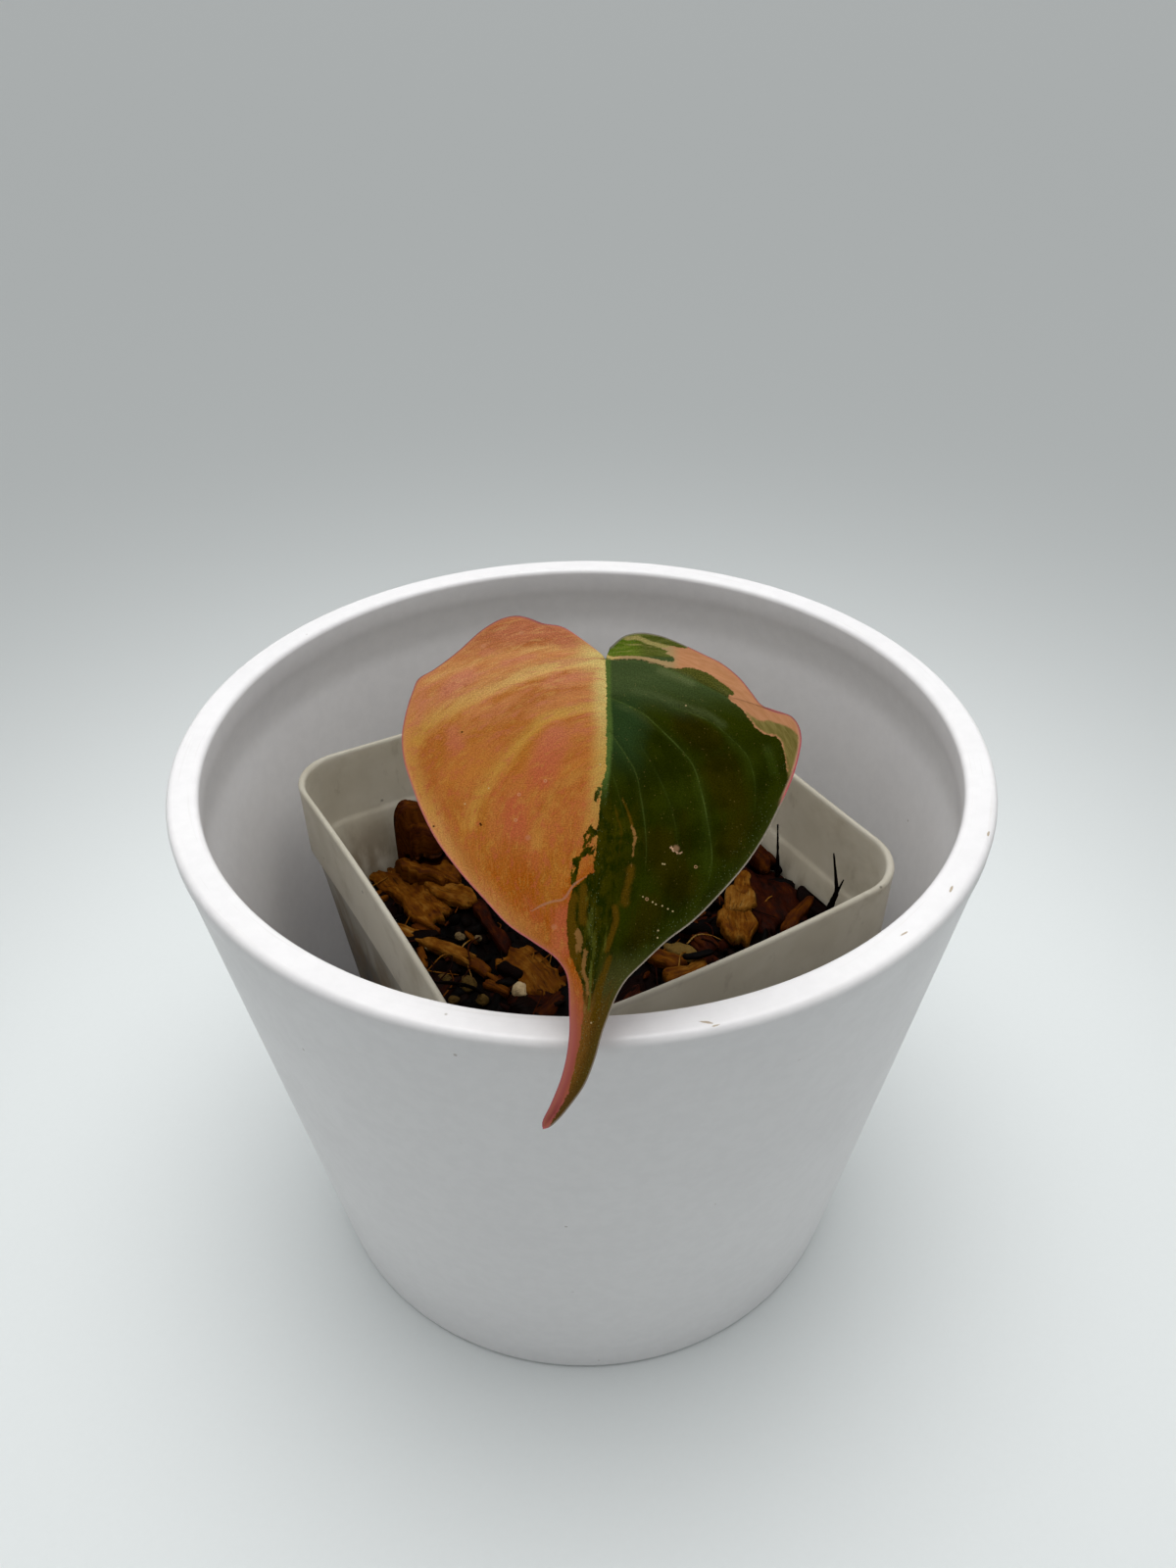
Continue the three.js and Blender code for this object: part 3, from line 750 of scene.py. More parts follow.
# Pieces of bark that stand out, each laid from its start to its end in the pot's frame, with its
# width, depth, how far its top stands over the mix at both ends, and tone from black 0 to gold 1
NAMED_PIECES = [
    ((-34.6, -23.4), (-33.5, -8.5), 8, 18, (18.4, 17), 0.46),
    ((-35, -22.5), (-22.5, -16.5), 7, 6, (6.4, 5.8), 0.58),
    ((-31.5, -21.5), (-16, -16.4), 4.8, 3, (3.4, 3.3), 0.70),
    ((-38, -26.8), (-15.2, -23), 7.4, 3.2, (2.4, 2.6), 0.63),
    ((-29.6, -33.6), (-30.4, -28.4), 3, 2.4, (2, 2), 0.56),
    ((-21.8, -32.8), (-1, -23.2), 2.7, 2.2, (2.6, 2.6), 0.73),
    ((-18.5, -27.8), (-12.4, -25.4), 2.8, 2, (1.4, 1.6), 0.46),
    ((-17, -15.6), (0.8, -17.2), 2.7, 2.4, (2.2, 2.2), 0.30),
    ((-11.8, -29.9), (-6, -31), 1.5, 1.4, (1.8, 1.8), 0.52),
    ((-0.8, -16), (14, -14.8), 7.4, 3.2, (2.7, 2.3), 0.64),
    ((8, -21), (15, -14), 6, 3, (1, 1.4), 0.28),
    ((3.4, -19.8), (8.4, -17.6), 2.2, 1.6, (3, 2.9), 0.05),
    ((-1.8, -23.6), (2.6, -21.6), 2.3, 1.8, (1.9, 1.7), 0.56),
    ((5.2, -23.9), (9.8, -21.1), 1.9, 1.8, (1.6, 1.6), 0.52),
    ((19.6, -23.4), (17, -14.2), 2.5, 2.2, (2, 2), 0.36),
    ((7, 34.4), (25.4, 29.4), 9.4, 3.4, (2.4, 2.2), 0.29),
    ((22.2, 36.8), (26.9, 27.0), 2.4, 2.4, (2.7, 2.4), 0.46),
    ((2, 37.6), (11.2, 37.2), 4.2, 3.8, (4.4, 3.9), 0.38),
    ((19, 37.6), (27, 37.6), 3.6, 3, (2.4, 2.2), 0.12),
    ((10.6, 38.2), (12.8, 38.2), 1.8, 2.4, (2.6, 2.2), 0.03),
    ((8.4, 31.8), (14.6, 27.0), 3.5, 3, (3.6, 4.2), 0.70),
    ((13.2, 28.0), (18.2, 23.2), 5.2, 3.4, (4.6, 4.2), 0.80),
    ((15.9, 25.0), (23.8, 19.6), 6.2, 3.2, (3.9, 3), 0.68),
    ((11, 14.4), (22, 15.4), 4, 3, (2.2, 2), 0.37),
    ((21.6, 13.8), (27.6, 10.4), 3.8, 3, (2, 1.6), 0.31),
    ((24.6, 3.4), (26.2, 11.4), 4.4, 3, (2.8, 2.6), 0.70),
    ((16.6, 4.4), (22.6, 7.2), 3.6, 2.6, (2.4, 2.4), 0.58),
    ((26.5, -8.5), (24, -1.5), 5, 3, (2, 2.2), 0.35),
    ((23.2, 7.2), (24.8, 12.4), 1.2, 1.1, (3.5, 3.5), 0.04),
]

# Rounded pieces: place, height over the mix, size, and tone from tan 0.5 to white 1
NAMED_LUMPS = [
    (-8.6, -22.6, 1.9, (2.1, 1.8, 1.8), 0.82), (-6.6, -19.5, 1.6, (1.5, 1.3, 1.2), 0.82),
    (10.7, -19.2, 2.4, (3.7, 3.3, 3.2), 0.96), (-0.2, -29.6, 1.5, (2.8, 2.2, 2), 0.52),
    (3, -26.4, 1.7, (3.6, 2.8, 2.4), 0.56), (9.2, -26.4, 1.3, (2.6, 2, 1.8), 0.62),
    (19.2, 9.8, 2.8, (6.4, 3.4, 3), 0.74), (5.6, -30.4, 1.2, (2.2, 1.8, 1.6), 0.55),
    (-10.5, -28.5, 1.4, (1.4, 1.2, 1.2), 0.9), (-14, 20, 1.6, (3, 2.6, 2.6), 0.93),
    (-20, 6, 1.6, (2.4, 2.2, 2), 0.9), (1, 27, 1.6, (2.6, 2.2, 2.2), 0.92),
    (30, -20, 1.6, (2.8, 2.4, 2.4), 0.92), (-28, 28, 1.6, (2.4, 2, 2), 0.9),
]


def seeded_chips():
    """The same places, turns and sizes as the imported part's chips."""
    draws = Draws(MIX_SEED)
    across = math.ceil(math.sqrt(MIX_CHIPS))
    cell = 2 * MIX_CHIP_REACH / across
    chips = []
    for i in range(across * across):
        u = -MIX_CHIP_REACH + cell * ((i % across) + draws.one())
        w = -MIX_CHIP_REACH + cell * (i // across + draws.one())
        kind = draws.one()
        if kind > 1 - MIX_LUMP_SHARE:
            shape, ranges = "lump", ((3, 6), (3, 5), (3, 4))
        elif kind < MIX_STICK_SHARE:
            shape, ranges = "stick", ((14, 22), (2, 3.2), (2, 2.6))
        else:
            shape, ranges = "plate", ((8, 15), (5, 10), (3, 5))
        size = tuple(draws.between(*limits) for limits in ranges)
        turn = draws.between(0, math.pi)
        tilt = draws.between(-0.45, 0.45)
        up = draws.between(0.8, 2.6)
        chips.append((u, w, up, turn, tilt, size, shape))
    return chips


def box_shell(cells):
    """Unit box faces with this many cells each way, with shared edges."""
    index, points, faces = {}, [], []

    def corner(place):
        if place not in index:
            index[place] = len(points)
            points.append([place[k] / cells[k] - 0.5 for k in range(3)])
        return index[place]

    for axis in range(3):
        a, b = (axis + 1) % 3, (axis + 2) % 3
        for end in (0, cells[axis]):
            for i in range(cells[a]):
                for j in range(cells[b]):
                    quad = []
                    for di, dj in ((0, 0), (1, 0), (1, 1), (0, 1)):
                        place = [0, 0, 0]
                        place[axis], place[a], place[b] = end, i + di, j + dj
                        quad.append(corner(tuple(place)))
                    faces.append(tuple(quad if end else reversed(quad)))
    return np.array(points), faces


def bark_body(size, seed, pitch):
    """A torn, layered flake of bark or wood with a ragged outline, lengthwise along its own x."""
    unit, faces = box_shell([max(4, min(44, round(side / pitch))) for side in size])
    signed = 2 * unit
    rounding = (np.abs(signed) ** BARK_SQUARENESS).sum(axis=1) ** (1 / BARK_SQUARENESS)
    x, y, z = (signed / rounding[:, None] * size / 2).T
    end, side, face = np.sign(signed).T
    none = np.zeros(len(x))
    flank = np.stack([x, 9 * side + seed * 11.3, none], axis=-1)
    tip = np.stack([y, 9 * end + seed * 5.7, none], axis=-1)
    plan = np.stack([0.22 * x, y, 9 * face + seed * 3.1], axis=-1)
    wide = 1 + 0.42 * soft_noise(flank, 0.25 * size[0] + 1.2, seed)
    wide += 0.16 * soft_noise(flank, 1.1, seed + 1)
    long = 1 + 0.24 * soft_noise(tip, 1.9, seed + 2) + 0.16 * soft_noise(tip, 0.7, seed + 3)
    ridges = soft_noise(plan, 1.1, seed + 4) + 0.6 * soft_noise(plan, 0.45, seed + 5)
    waves = soft_noise(plan * (2.5, 1, 1), 3.6, seed + 6)
    layer = smooth_step(soft_noise(plan * (1.8, 1, 1), 2.6, seed + 7), 0.05, 0.14)
    bend, twist, skew = soft_noise(np.diag([seed * 3.3, seed * 2.1, seed * 1.7]), 1, seed)
    share = x / size[0]
    body = np.stack([x * long, y * wide, z * (1 + 0.34 * waves)], axis=-1)
    body[:, 2] -= 0.16 * size[2] * layer * (face > 0)
    body[:, 2] += face * 0.26 * ridges * min(1, size[2] / 2.5)
    body[:, 2] += 1.4 * bend * share**2 * min(2.0, size[0] * 0.1) + 0.5 * twist * share * y
    body[:, 1] += 0.5 * skew * share**2 * size[1]
    return body, faces, np.stack([x, y, z], axis=-1) + seed * 13.7


def set_down(body, u, w, up, turn, tilt, depth):
    """Tilts and turns a body, and places it on the mix at u, w of the pot's frame."""
    c, s = math.cos(tilt), math.sin(tilt)
    x, y, z = body.T
    x, z = c * x + s * z, -s * x + c * z
    c, s = math.cos(turn), math.sin(turn)
    x, y = c * x - s * y, s * x + c * y
    z = z + mix_height(u, w) + up - depth / 2
    return turned(keep_in_pot(np.stack([x + u, y + w, z], axis=-1)))


def keep_in_pot(points):
    """Points in the pot's frame, pressed in where they would reach its wall."""
    x, y, z = points.T
    limit = np.where(z < POT_SHOULDER, inner_half(z), POT_SHOULDER_HALF - POT_WALL) - WALL_GAP
    radius = limit * POT_CORNER_SHARE
    inner = limit - radius
    x = np.clip(x, -limit, limit)
    y = np.clip(y, -limit, limit)
    over_x = np.maximum(np.abs(x) - inner, 0)
    over_y = np.maximum(np.abs(y) - inner, 0)
    reach = np.hypot(over_x, over_y)
    pull = np.where(reach > radius, radius / np.maximum(reach, 1e-9), 1)
    x = np.sign(x) * np.where(over_x > 0, inner + over_x * pull, np.abs(x))
    y = np.sign(y) * np.where(over_y > 0, inner + over_y * pull, np.abs(y))
    return np.stack([x, y, z], axis=-1)


def unit_ball(level):
    """Points and triangles of a round ball, split this often from an icosahedron."""
    made = bmesh.new()
    bmesh.ops.create_icosphere(made, subdivisions=level, radius=1)
    points = np.array([v.co for v in made.verts])
    faces = [tuple(v.index for v in f.verts) for f in made.faces]
    made.free()
    return points, faces


def lump_body(ball, size, seed, lumpy=0.22):
    points, faces = ball
    swell = 1 + lumpy * soft_noise(points + seed * 7.1, 0.8, seed)
    swell += 0.1 * soft_noise(points + seed, 0.3, seed)
    return points * swell[:, None] * np.array(size) / 2, faces


def make_mix():
    make_mix_bed()
    bark, pale, crumbs = Pile(), Pile(), Pile()
    fine_ball, small_ball, tiny_ball = unit_ball(4), unit_ball(3), unit_ball(2)
    for seed, (start, end, width, depth, lifts, tone) in enumerate(NAMED_PIECES):
        body, faces, grain = bark_body((math.dist(start, end), width, depth), seed, NAMED_PITCH)
        bark.add(turned(keep_in_pot(lay_along(body, start, end, lifts))), faces, tone, grain)
    draws = Draws(CHIP_TONE_SEED)
    for seed, (u, w, up, turn, tilt, size, kind) in enumerate(seeded_chips(), len(NAMED_PIECES)):
        chance = draws.one()
        tone = 0.06 + 0.76 * chance**1.5
        # chips by the named pieces are sunk and coloured nearly black: dark bark, and painted shade in
        # the gaps around those pieces
        if near_named(u, w, size):
            up = min(up, 0.0)
            tone = 0.12 * chance
        if kind == "lump":
            body, faces = lump_body(small_ball, size, seed)
            grain = body + seed * 5
        else:
            body, faces, grain = bark_body(size, seed, CHIP_PITCH)
        bark.add(set_down(body, u, w, up, turn, tilt, size[2]), faces, tone, grain)
    for seed, (u, w, up, size, tone) in enumerate(NAMED_LUMPS):
        body, faces = lump_body(fine_ball, size, seed + 40, lumpy=0.3)
        pale.add(set_down(body, u, w, up, 0.4, 0, size[2]), faces, tone, body + seed)
    scatter_crumbs(crumbs, pale, small_ball, tiny_ball)
    bark.piece("bark_chips", bark_material("bark"))
    crumbs.piece("bark_crumbs", bark_material("crumbs"))
    pale.piece("pale_lumps", perlite_material())
    make_fibres()


def lay_along(body, start, end, lifts):
    """Lays a body's own x from start to end in the pot's frame, its top that far over the mix."""
    feet = [np.array([u, w, mix_height(u, w) + lift]) for (u, w), lift in zip((start, end), lifts)]
    run = feet[1] - feet[0]
    run /= np.linalg.norm(run)
    side = np.cross([0, 0, 1], run)
    side /= np.linalg.norm(side)
    up = np.cross(run, side)
    top = body[:, 2].max()
    return (feet[0] + feet[1]) / 2 + body[:, :1] * run + body[:, 1:2] * side + (body[:, 2:] - top) * up


def near_named(u, w, size):
    """Whether a chip of this size would reach one of the named pieces."""
    spot = np.array([[u, w]])
    return any(
        distance_to(spot, np.array([start, end]))[0] < (max(size) + width) / 2
        for start, end, width, *_ in NAMED_PIECES)


def scatter_crumbs(crumbs, pale, small_ball, tiny_ball):
    """Crumbs and slivers from 1 to 5 mm between the chips."""
    draws = Draws(CRUMB_SEED)
    for seed in range(CRUMBS):
        u, w = draws.spot(CRUMB_REACH)
        across = draws.between(0.9, 2.6)
        turn, tilt = draws.between(0, math.pi), draws.between(-0.7, 0.7)
        up = draws.between(-0.2, 0.9)
        kind = draws.one()
        tone = draws.one()
        if kind < CRUMB_SLIVER_SHARE:
            size = (across * draws.between(1.5, 3.5), across * 0.6, across * 0.45)
        else:
            size = (across * 1.2, across, across * 0.8)
        white = kind > 1 - CRUMB_WHITE_SHARE
        body, faces = lump_body(small_ball if white else tiny_ball, size, seed, lumpy=0.3)
        placed = set_down(body, u, w, up, turn, tilt, size[2])
        if white:
            pale.add(placed, faces, 0.9, body + seed)
        else:
            crumbs.add(placed, faces, 0.58 * tone**4, body * (0.3, 1, 1) + seed)


# Dark twigs: points from the root to the free end in the pot's frame, and radii at both ends
TWIGS = [
    ([(12.4, 36.8, -2.5), (12.4, 36.9, 3), (11.9, 36.8, 8), (11.4, 36.6, 13.5)], 0.5, 0.14),
    ([(29.2, 35.2, -1), (29.3, 35.7, 4.4), (29.9, 36.2, 8.8), (28.6, 36.6, 11.6),
      (27.1, 36.9, 15.3)], 0.85, 0.13),
    ([(29.7, 36.0, 7.0), (30.4, 36.1, 9.2), (31.2, 36.2, 12.2)], 0.34, 0.12),
    ([(29.4, 35.5, 3.2), (31, 35.2, 4.6), (32.4, 35, 5.4)], 0.3, 0.12),
    ([(8.4, -25.5, 0.5), (8.5, -27.8, 3.8), (9.2, -31.4, 7.3), (12.6, -35.8, 12.8),
      (16.6, -39.6, 18.6)], 0.42, 0.14),
    ([(10.2, -33, 9.1), (11.4, -32.4, 10.2), (12, -31.2, 10.8)], 0.2, 0.1),
]


def make_fibres():
    """Twigs that stand up, and fine fibres that lie across the chips."""
    pile = Pile()
    for seed, (path, root, end) in enumerate(TWIGS):
        base = mix_height(*path[0][:2])
        points = [(u, w, base + lift) for u, w, lift in path]
        line = at_shares(points, np.linspace(0, 1, 22))
        body, faces = tube(line, np.linspace(root, end, len(line)), sides=9, seed=seed, rough=0.35)
        pile.add(turned(body), faces, 0.02, body * (1, 1, 0.2))
    draws = Draws(FIBRE_SEED)
    for seed in range(FIBRES):
        u, w = draws.spot(FIBRE_REACH)
        turn, length = draws.between(0, 2 * math.pi), draws.between(4, 13)
        lift, arch, tone = draws.between(0.8, 2.4), draws.between(0.2, 1.4), draws.one()
        points = []
        for share in (-0.5, -0.2, 0.15, 0.5):
            sway = 0.12 * length * math.sin(5 * share + seed)
            x = u + length * share * math.cos(turn) - sway * math.sin(turn)
            y = w + length * share * math.sin(turn) + sway * math.cos(turn)
            points.append((x, y, mix_height(x, y) + lift + arch * (0.25 - share * share) * 4 - 0.6))
        line = at_shares(points, np.linspace(0, 1, 14))
        body, faces = tube(line, np.linspace(0.17, 0.09, len(line)), sides=6)
        pile.add(turned(keep_in_pot(body)), faces, 0.1 + 0.8 * tone, body * 0.3)
    pile.piece("twigs_and_fibres", bark_material("twig"))


def bark_material(name):
    """Bark from black over red-brown to gold by the piece's tone, streaked along its grain."""
    paint = Paint(name)
    tone, grain = paint.field("tone"), paint.vector_field("grain")
    streaks = paint.noise(paint.stretch(grain, (0.14, 1, 1)), 1.3, 5, 0.62)
    patches = paint.noise(grain, 0.40, 3)
    vary = tone * 0.7 + 0.30
    level = tone + (streaks - 0.5) * vary * 0.8 + (patches - 0.5) * vary * 0.9
    stops = paint.node("ShaderNodeValToRGB", {"Fac": level})
    elements = stops.socket.node.color_ramp.elements
    while len(elements) < len(BARK_COLOURS):
        elements.new(0.5)
    for element, (at, colour) in zip(elements, BARK_COLOURS):
        element.position = at
        element.color = (*colour, 1)
    cracks = paint.noise(paint.stretch(grain, (0.12, 1.3, 1.3)), 2.4, 4, 0.7)
    colour = paint.mix(stops, (0.002, 0.0008, 0.0003), cracks, 0.33, 0.48, 0.65, 0)
    height = streaks + paint.noise(grain, 6, 4) * 0.4
    return paint.finish(
        Base_Color=colour, Roughness=patches.ramp(0.35, 0.65, 0.55, 0.80),
        Normal=paint.normal(height, 0.22, 0.8), Specular_IOR_Level=0.03)


def perlite_material():
    """Tan, gold, dull and white grains by tone, each a little uneven."""
    paint = Paint("perlite_and_pale_wood")
    tone, grain = paint.field("tone"), paint.vector_field("grain")
    clouds = paint.noise(grain, 1.2, 4)
    tan = paint.mix((0.018, 0.009, 0.002), (0.080, 0.046, 0.010), clouds)
    gold = paint.mix((0.070, 0.038, 0.006), (0.150, 0.092, 0.024), clouds)
    dull = paint.mix((0.060, 0.038, 0.014), (0.140, 0.098, 0.050), clouds)
    white = paint.mix((0.250, 0.170, 0.080), (0.430, 0.330, 0.195), clouds)
    pits = paint.cells(grain, 2.4).ramp(0.12, 0.30, 1, 0)
    colour = paint.coats(tan, [
        (gold, tone, 0.60, 0.72), (dull, tone, 0.75, 0.80), (white, tone, 0.84, 0.92),
        ((0.080, 0.050, 0.025), pits * 0.35)])
    height = paint.noise(grain, 4, 4) + pits * -0.6
    return paint.finish(
        Base_Color=colour, Roughness=0.85, Normal=paint.normal(height, 0.25, 0.8),
        Specular_IOR_Level=0.05)


# Vine and stalk

STEM_AT = np.array([3.0, 8.0, 42.0])
STEM_LEAN = 0.3
STEM_LENGTH = 36.6
STEM_RADIUS = 2.5
STEM_NODE = 26.5


def stem_point(height):
    return STEM_AT + height * np.array([0, math.sin(STEM_LEAN), math.cos(STEM_LEAN)])


def stem_radius(height):
    ring = 0.62 * math.exp(-(((height - STEM_NODE) / 1.3) ** 2))
    scar = 0.16 * math.exp(-(((height - STEM_NODE + 2.1) / 0.35) ** 2))
    ends = max(0.0, 1 - (STEM_LENGTH - height) / 0.8)
    return STEM_RADIUS - 0.12 * height / STEM_LENGTH + ring + scar - 0.6 * ends * ends


def make_stem():
    heights = [0.0, *np.linspace(0.4, STEM_LENGTH - 0.05, 120), STEM_LENGTH]
    path = [stem_point(h) for h in heights]
    radii = [stem_radius(h) for h in heights]
    points, faces = tube(path, radii, sides=32, seed=3, rough=0.04)
    fields = {"grain": points * (1, 1, 0.25)}
    mesh_piece("vine", points, faces, [vine_material()], ["vine_stem"], fields)


def vine_material():
    paint = Paint("vine_skin")
    grain = paint.vector_field("grain")
    streaks = paint.noise(paint.stretch(grain, (1, 1, 0.5)), 1.6, 5)
    pores = paint.cells(grain, 1.5).ramp(0.10, 0.22, 0.5, 0)
    colour = paint.mix((0.060, 0.062, 0.020), (0.200, 0.160, 0.070), streaks)
    colour = paint.coats(colour, [
        ((0.135, 0.075, 0.035), paint.noise(grain, 0.7, 4), 0.45, 0.62, 0, 0.75),
        ((0.36, 0.29, 0.18), pores)])
    normal = paint.normal(streaks + pores, 0.2, 0.7)
    return paint.finish(Base_Color=colour, Roughness=0.6, Normal=normal)


STALK_BASE_RADIUS = 1.9
STALK_TOP_RADIUS = 1.15
STALK_BEND = [(3.1, 4.5, 93), (3.3, -7, 114), (3.4, -22, 130)]  # places it passes on its way up
STALK_JOIN_ALONG = 1.6  # where it meets the blade, along the midrib and under the upper side
STALK_JOIN_DEPTH = 0.75


def make_stalk():
    foot = stem_point(STEM_NODE)
    head = blade_points(np.zeros(1), np.full(1, STALK_JOIN_ALONG), -STALK_JOIN_DEPTH)[0]
    control = [foot, (STEM_AT[0], STEM_AT[1] + 0.5, foot[2] + 7), *STALK_BEND, head]
    shares = np.linspace(0, 1, 150)
    path = at_shares(control, shares)
    radii = STALK_BASE_RADIUS + (STALK_TOP_RADIUS - STALK_BASE_RADIUS) * np.sqrt(shares)
    sheath = 0.35 * np.exp(-((shares / 0.09) ** 2))
    knee = 0.16 * np.exp(-(((shares - 0.975) / 0.03) ** 2))
    sides = 28
    points, faces = tube(path, radii + sheath + knee, sides, seed=7, rough=0.03)
    from_groove = (np.arange(sides) + sides // 2) % sides - sides // 2
    groove = np.tile(np.exp(-((from_groove / 2.2) ** 2)), len(path))
    centres = np.repeat(path, sides, axis=0)
    points -= (points - centres) * (0.16 * groove)[:, None]
    fields = {"grain": points * (1, 0.3, 0.25), "tone": np.repeat(shares, sides)}
    mesh_piece("stalk", points, faces, [stalk_material()], ["petiole"], fields)


def stalk_material():
    paint = Paint("stalk_skin")
    grain = paint.vector_field("grain")
    streaks = paint.noise(grain, 2.2, 4)
    green = paint.mix((0.085, 0.090, 0.030), (0.230, 0.185, 0.080), streaks)
    pink = paint.mix((0.260, 0.090, 0.060), (0.460, 0.190, 0.120), streaks)
    colour = paint.coats(green, [
        (pink, paint.field("tone") + streaks * 0.5, 0.45, 1.15),
        ((0.50, 0.36, 0.24), paint.cells(grain, 2.6), 0.08, 0.18, 0.35, 0)])
    normal = paint.normal(paint.noise(grain, 5, 4), 0.12, 0.7)
    return paint.finish(Base_Color=colour, Roughness=0.55, Normal=normal, Sheen_Weight=0.15)


# Leaf. Flat places are (across, along) in millimetres from where the stalk meets the blade.

SINUS = np.array([3.4, -31.0, 142.0])
LEAF_LENGTH = 62.0
DIP_AT_SINUS = math.radians(24)
DIP_AT_TIP = math.radians(48)
CHANNEL = 0.14
DROOP = 0.0095
MARGIN_WAVE = 0.35
WAVE_TURNS = 23
BARE_SHARE = 0.2
LEAF_COLUMNS = 250
LEAF_ROWS = 52

LEFT_OUTLINE = [
    (-1.3, -1.6), (-3, -3.1), (-6, -5.2), (-8.6, -5.7), (-10.8, -6.8), (-12.5, -7.3),
    (-14.6, -7), (-17.3, -5.5), (-20.5, -2.6), (-23.8, -0.2), (-26, 1), (-26.7, 3),
    (-27.5, 6.7), (-27.8, 10.4), (-27.3, 14), (-26.1, 17.7), (-24.7, 21.4), (-22.4, 26),
    (-19.1, 30.7), (-16, 34.3), (-12.9, 37.7), (-9.5, 40.1), (-7, 41.9), (-5.8, 43.5),
    (-5.4, 45), (-5.3, 48), (-5.3, 51), (-5.7, 54), (-6.4, 56.6), (-7.6, 59.5), (-8.7, 61.8),
    (-8.6, 62.5)]

RIGHT_OUTLINE = [
    (0.6, -1.6), (2.6, -3.4), (4.8, -3.9), (7.5, -3.5), (10, -2.5), (13.2, -0.9),
    (16.1, 0.7), (18.4, 3), (19.8, 5.2), (21, 7), (22.9, 7.8), (25, 8.1), (26, 9.3),
    (26.3, 11.3), (25.8, 13.8), (24.6, 17.4), (22.3, 22.2), (20, 26.4), (17.3, 30.3),
    (14, 34), (10.4, 37.5), (7, 40), (4, 42.7), (1.8, 44.8), (0.6, 46.7), (-0.3, 48.8),
    (-1.2, 51.1), (-2.2, 54.4), (-3.5, 57.4), (-5.2, 59.7), (-6.6, 61.3), (-7.8, 62.3),
    (-8.6, 62.5)]

MIDRIB = [
    (0, 0), (-0.1, 7), (0, 12), (-0.4, 17), (-1.3, 25), (-1.9, 33.4), (-2.6, 43),
    (-3.1, 48.7), (-4.4, 55), (-6.6, 59.9), (-8.6, 62.5)]


def dip_at(along):
    share = np.clip(along / LEAF_LENGTH, -0.15, 1.05)
    return DIP_AT_SINUS + (DIP_AT_TIP - DIP_AT_SINUS) * share


def blade_points(across, along, lift):
    """Points of the bent blade's upper surface, raised by lift along its normal."""
    steps = 60
    spine_y, spine_z = np.zeros(len(along)), np.zeros(len(along))
    for i in range(steps):
        dip = dip_at(along * (i + 0.5) / steps)
        spine_y -= np.cos(dip) * along / steps
        spine_z -= np.sin(dip) * along / steps
    away = np.hypot(across, 1.5) - 1.5
    height = CHANNEL * away - DROOP * across**2 + lift
    dip = dip_at(along)
    return np.stack([
        SINUS[0] + across,
        SINUS[1] + spine_y - height * np.sin(dip),
        SINUS[2] + spine_z + height * np.cos(dip)], axis=-1)


# Side veins of the green half, from the midrib outwards, and how strongly each shows
GREEN_VEINS = [
    ([(0.3, 6.2), (2.3, 7.4), (4.7, 8.9), (6.8, 11.2), (9.9, 14.8), (11.1, 16.6), (11.9, 19.5),
      (12.5, 23), (12.9, 26.5), (13, 30), (12.2, 33.5)], 1.0),
    ([(0.2, 11.4), (2.1, 14.6), (3.6, 17.7), (4.2, 21.2), (4.6, 25), (4.7, 28.3), (4.4, 31.9)], 0.75),
    ([(8.6, 8), (13.5, 10), (16.9, 13), (18.4, 14.8), (19.1, 17.1), (19.3, 19.5), (18.9, 24)], 0.6),
    ([(4.2, 13.5), (6.4, 18), (8, 22.5), (8.7, 27), (8.6, 32)], 0.3),
    ([(1, 0.2), (3, 0.15), (5, 0.5), (7.9, 1.9), (10.8, 3.4), (13.7, 4.8), (16.5, 6.4),
      (18.5, 8.8)], 1.1),
    ([(-0.1, 16.1), (1.1, 19.6), (1.9, 23.5), (2.3, 27.3)], 0.3),
]

